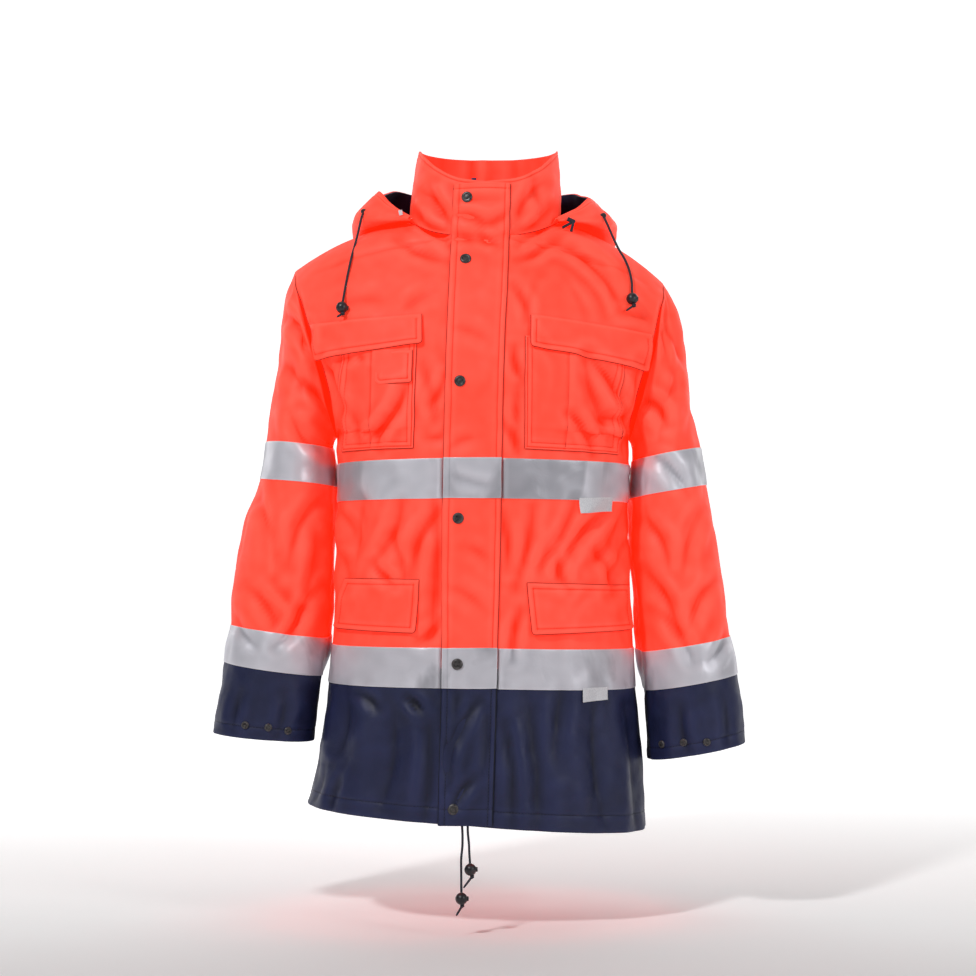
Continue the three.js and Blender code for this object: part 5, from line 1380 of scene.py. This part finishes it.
FRONT_SNAPS = [(-18, 19), (-20, -62), (-26.5, -217), (-29, -386), (-29.5, -566), (-35, -744)]
for n, (x, z) in enumerate(FRONT_SNAPS, 1):
    is_on_tape = -596 < z < -546
    height = STORM_TOP + (LAID + TAPE_WALL if is_on_tape else 0) + 0.1
    place, normal = storm_surface(np.array([float(x)]), np.array([float(z)]), height)
    press_stud(f"front_{n}", place[0], normal[0], SNAP_RADIUS)

CUFF_SNAPS = {
    "right": [(-300, -647), (-271, -650), (-246, -654)],
    "left": [(230, -673), (256, -669), (285, -668)],
}
for side, spots in CUFF_SNAPS.items():
    ring, col = np.meshgrid(np.linspace(CUFF_RING, LAST_RING, 90), np.linspace(0, 12, 160), indexing="ij")
    points, normals = on_sleeve(side, ring, col, 0.1)
    for n, (x, z) in enumerate(spots, 1):
        away = np.hypot(points[..., 0] - x, points[..., 2] - z)
        at = np.unravel_index(np.argmin(away), away.shape)
        press_stud(f"cuff_{side}_{n}", points[at], normals[at], CUFF_SNAP_RADIUS)

# Stitches of the hem and cuffs
for face in ("front", "back"):
    for sign in (-1, 1):
        t = np.linspace(0.02, 0.98, 160)
        sew(*cloth(face, sign, np.full(160, HEM + HEM_STITCH), t, -0.3), NAVY_THREAD)
for side in ("right", "left"):
    ring = np.full(220, LAST_RING - CUFF_STITCH / RING_PITCH)
    sew(*on_sleeve(side, ring, np.linspace(0, 24, 220), -0.3), NAVY_THREAD)
# Painted shadow lines: dark tubes along the armhole and neck seams
for face, rows in (("front", np.linspace(-268, -6, 120)), ("back", np.linspace(-262, -6, 120))):
    for sign in (-1, 1):
        seam(*cloth(face, sign, rows, 0.996, 0.15), ORANGE_SHADOW_LINE, 0.55)
for first, last in ((0.9, 9.5), (COLLAR_COLUMNS - 9.5, COLLAR_COLUMNS - 0.9)):
    col = np.linspace(first, last, 140)
    seam(*on_collar(np.full(140, 0.04), col, -0.4), ORANGE_SHADOW_LINE, 0.5)
# One piece per material: the stitches, and the dark tubes of painted shadow lines.
for material, name in (
    (ORANGE_THREAD, "stitches_orange"), (NAVY_THREAD, "stitches_navy"),
    (ORANGE_SHADOW_LINE, "seams_orange"), (NAVY_SHADOW_LINE, "seams_navy"),
):
    add_mesh(name, *join(stitches_and_shadow_lines[material]), material)


# Small trim: the zip's top end above the collar, a white loop at the hood's right end and the tails of
# the tape that holds its left end, and an eyelet at each hood cord.
def block(centre, across, up, size):
    """A small slab with slightly drawn-in faces: its middle, two of its directions and its size."""
    across, up = unit(np.array(across, float)), unit(np.array(up, float))
    depth = np.cross(across, up)
    points = []
    for level, shrink in ((-0.5, 0.8), (-0.3, 1.0), (0.3, 1.0), (0.5, 0.8)):
        for x, z in ((-0.5, -0.5), (0.5, -0.5), (0.5, 0.5), (-0.5, 0.5)):
            face_way = across * x * size[0] + up * z * size[1]
            points.append(np.asarray(centre) + face_way * shrink + depth * level * size[2])
    return points, [(3, 2, 1, 0), (12, 13, 14, 15)] + band_faces(4, 4)


zip_place, _ = on_collar(np.array([4.02]), np.array([0.5]), -SHELL - 1.2)
EYELET = [(-1.2, 1.9), (-1.0, 4.2), (0.2, 4.4), (1.0, 3.6), (1.2, 1.9)]
add_mesh("zip_end", *block(zip_place[0], (1, 0, 0), (0, 0, 1), (6.5, 6, 1.8)), NAVY)
add_mesh("hood_loop", *block((-104.0, -60.0, 7.5), (1, 0.2, 0.25), (-0.2, 0.2, 1), (5, 7, 1.6)), WHITE)
add_mesh("hood_tape_tails", *join([
    block((111.0, -64.0, -8.0), (1, 0.1, 0.55), (-0.5, -0.3, 1), (19, 3.6, 1.4)),
    block((116.0, -64.5, -10.0), (0.25, 0.1, 1), (1, 0, -0.25), (16, 3.8, 1.4)),
    block((114.0, -63.0, -3.0), (0.9, 0.1, -0.4), (0.4, -0.2, 0.9), (10, 5.5, 2.6)),
]), CORD)
for side in ("right", "left"):
    route = np.array(CORD_ROUTES[f"hood_{side}"], float)
    add_mesh(f"eyelet_{side}", *lathe(route[0], route[1] - route[0], EYELET), BLACK)

# Studio: a pale floor that runs up into a pale backdrop, and soft lights.
FLOOR = -0.90


def studio():
    """Floor and backdrop in one sheet, which glows more towards the back."""
    points, faces = [], []
    profile = [(-7.0, 0), (5.0, 0), (5.8, 0.1), (6.4, 0.45), (6.7, 1.1), (6.8, 9.0)]
    for x in (-11.0, 11.0):
        points += [(x, y, FLOOR + z) for y, z in profile]
    count = len(profile)
    for i in range(count - 1):
        faces.append((i, count + i, count + i + 1, i + 1))
    mesh = bpy.data.meshes.new("studio")
    mesh.from_pydata(points, [], faces)
    mesh.shade_smooth()
    backdrop = bpy.data.objects.new("studio", mesh)
    scene.collection.objects.link(backdrop)
    material, tree, bsdf = nodes_of("studio")
    grain = noise_node(tree, 2, 2)
    tint(tree, bsdf, grain, (0.84, 0.84, 0.84), (0.86, 0.86, 0.86))
    bsdf.inputs["Roughness"].default_value = 0.9
    bsdf.inputs["Emission Color"].default_value = (1, 1, 1, 1)
    place = tree.nodes.new("ShaderNodeTexCoord")
    split = tree.nodes.new("ShaderNodeSeparateXYZ")
    tree.links.new(place.outputs["Object"], split.inputs["Vector"])
    glow = map_range(tree, split.outputs["Y"], -0.4, 1.6, 0.0, 0.74)
    tree.links.new(glow, bsdf.inputs["Emission Strength"])
    backdrop.data.materials.append(material)


studio()

MIDDLE = (0, 0, -0.4)
for name, place, size, power in (
    ("key", (-1.6, -2.4, 1.9), (0.3, 0.3), 62),
    ("fill", (2.3, -2.0, 0.6), (0.7, 1.0), 24),
    ("top", (0, 0.2, 2.4), (2.4, 1.6), 8),
    ("back_left", (-2.0, 1.9, 0.8), (1.2, 1.8), 9),
    ("back_right", (2.0, 1.9, 0.8), (1.2, 1.8), 9),
):
    light = bpy.data.lights.new(name, "AREA")
    light.shape = "RECTANGLE"
    light.size, light.size_y = size
    light.energy = power
    lamp = bpy.data.objects.new(name, light)
    lamp.location = place
    lamp.rotation_euler = (Vector(MIDDLE) - Vector(place)).to_track_quat("-Z", "Y").to_euler()
    scene.collection.objects.link(lamp)

world = bpy.data.worlds.new("studio_air")
scene.world = world
world.use_nodes = True
world.node_tree.nodes["Background"].inputs["Color"].default_value = (1, 1, 1, 1)
world.node_tree.nodes["Background"].inputs["Strength"].default_value = 0.08
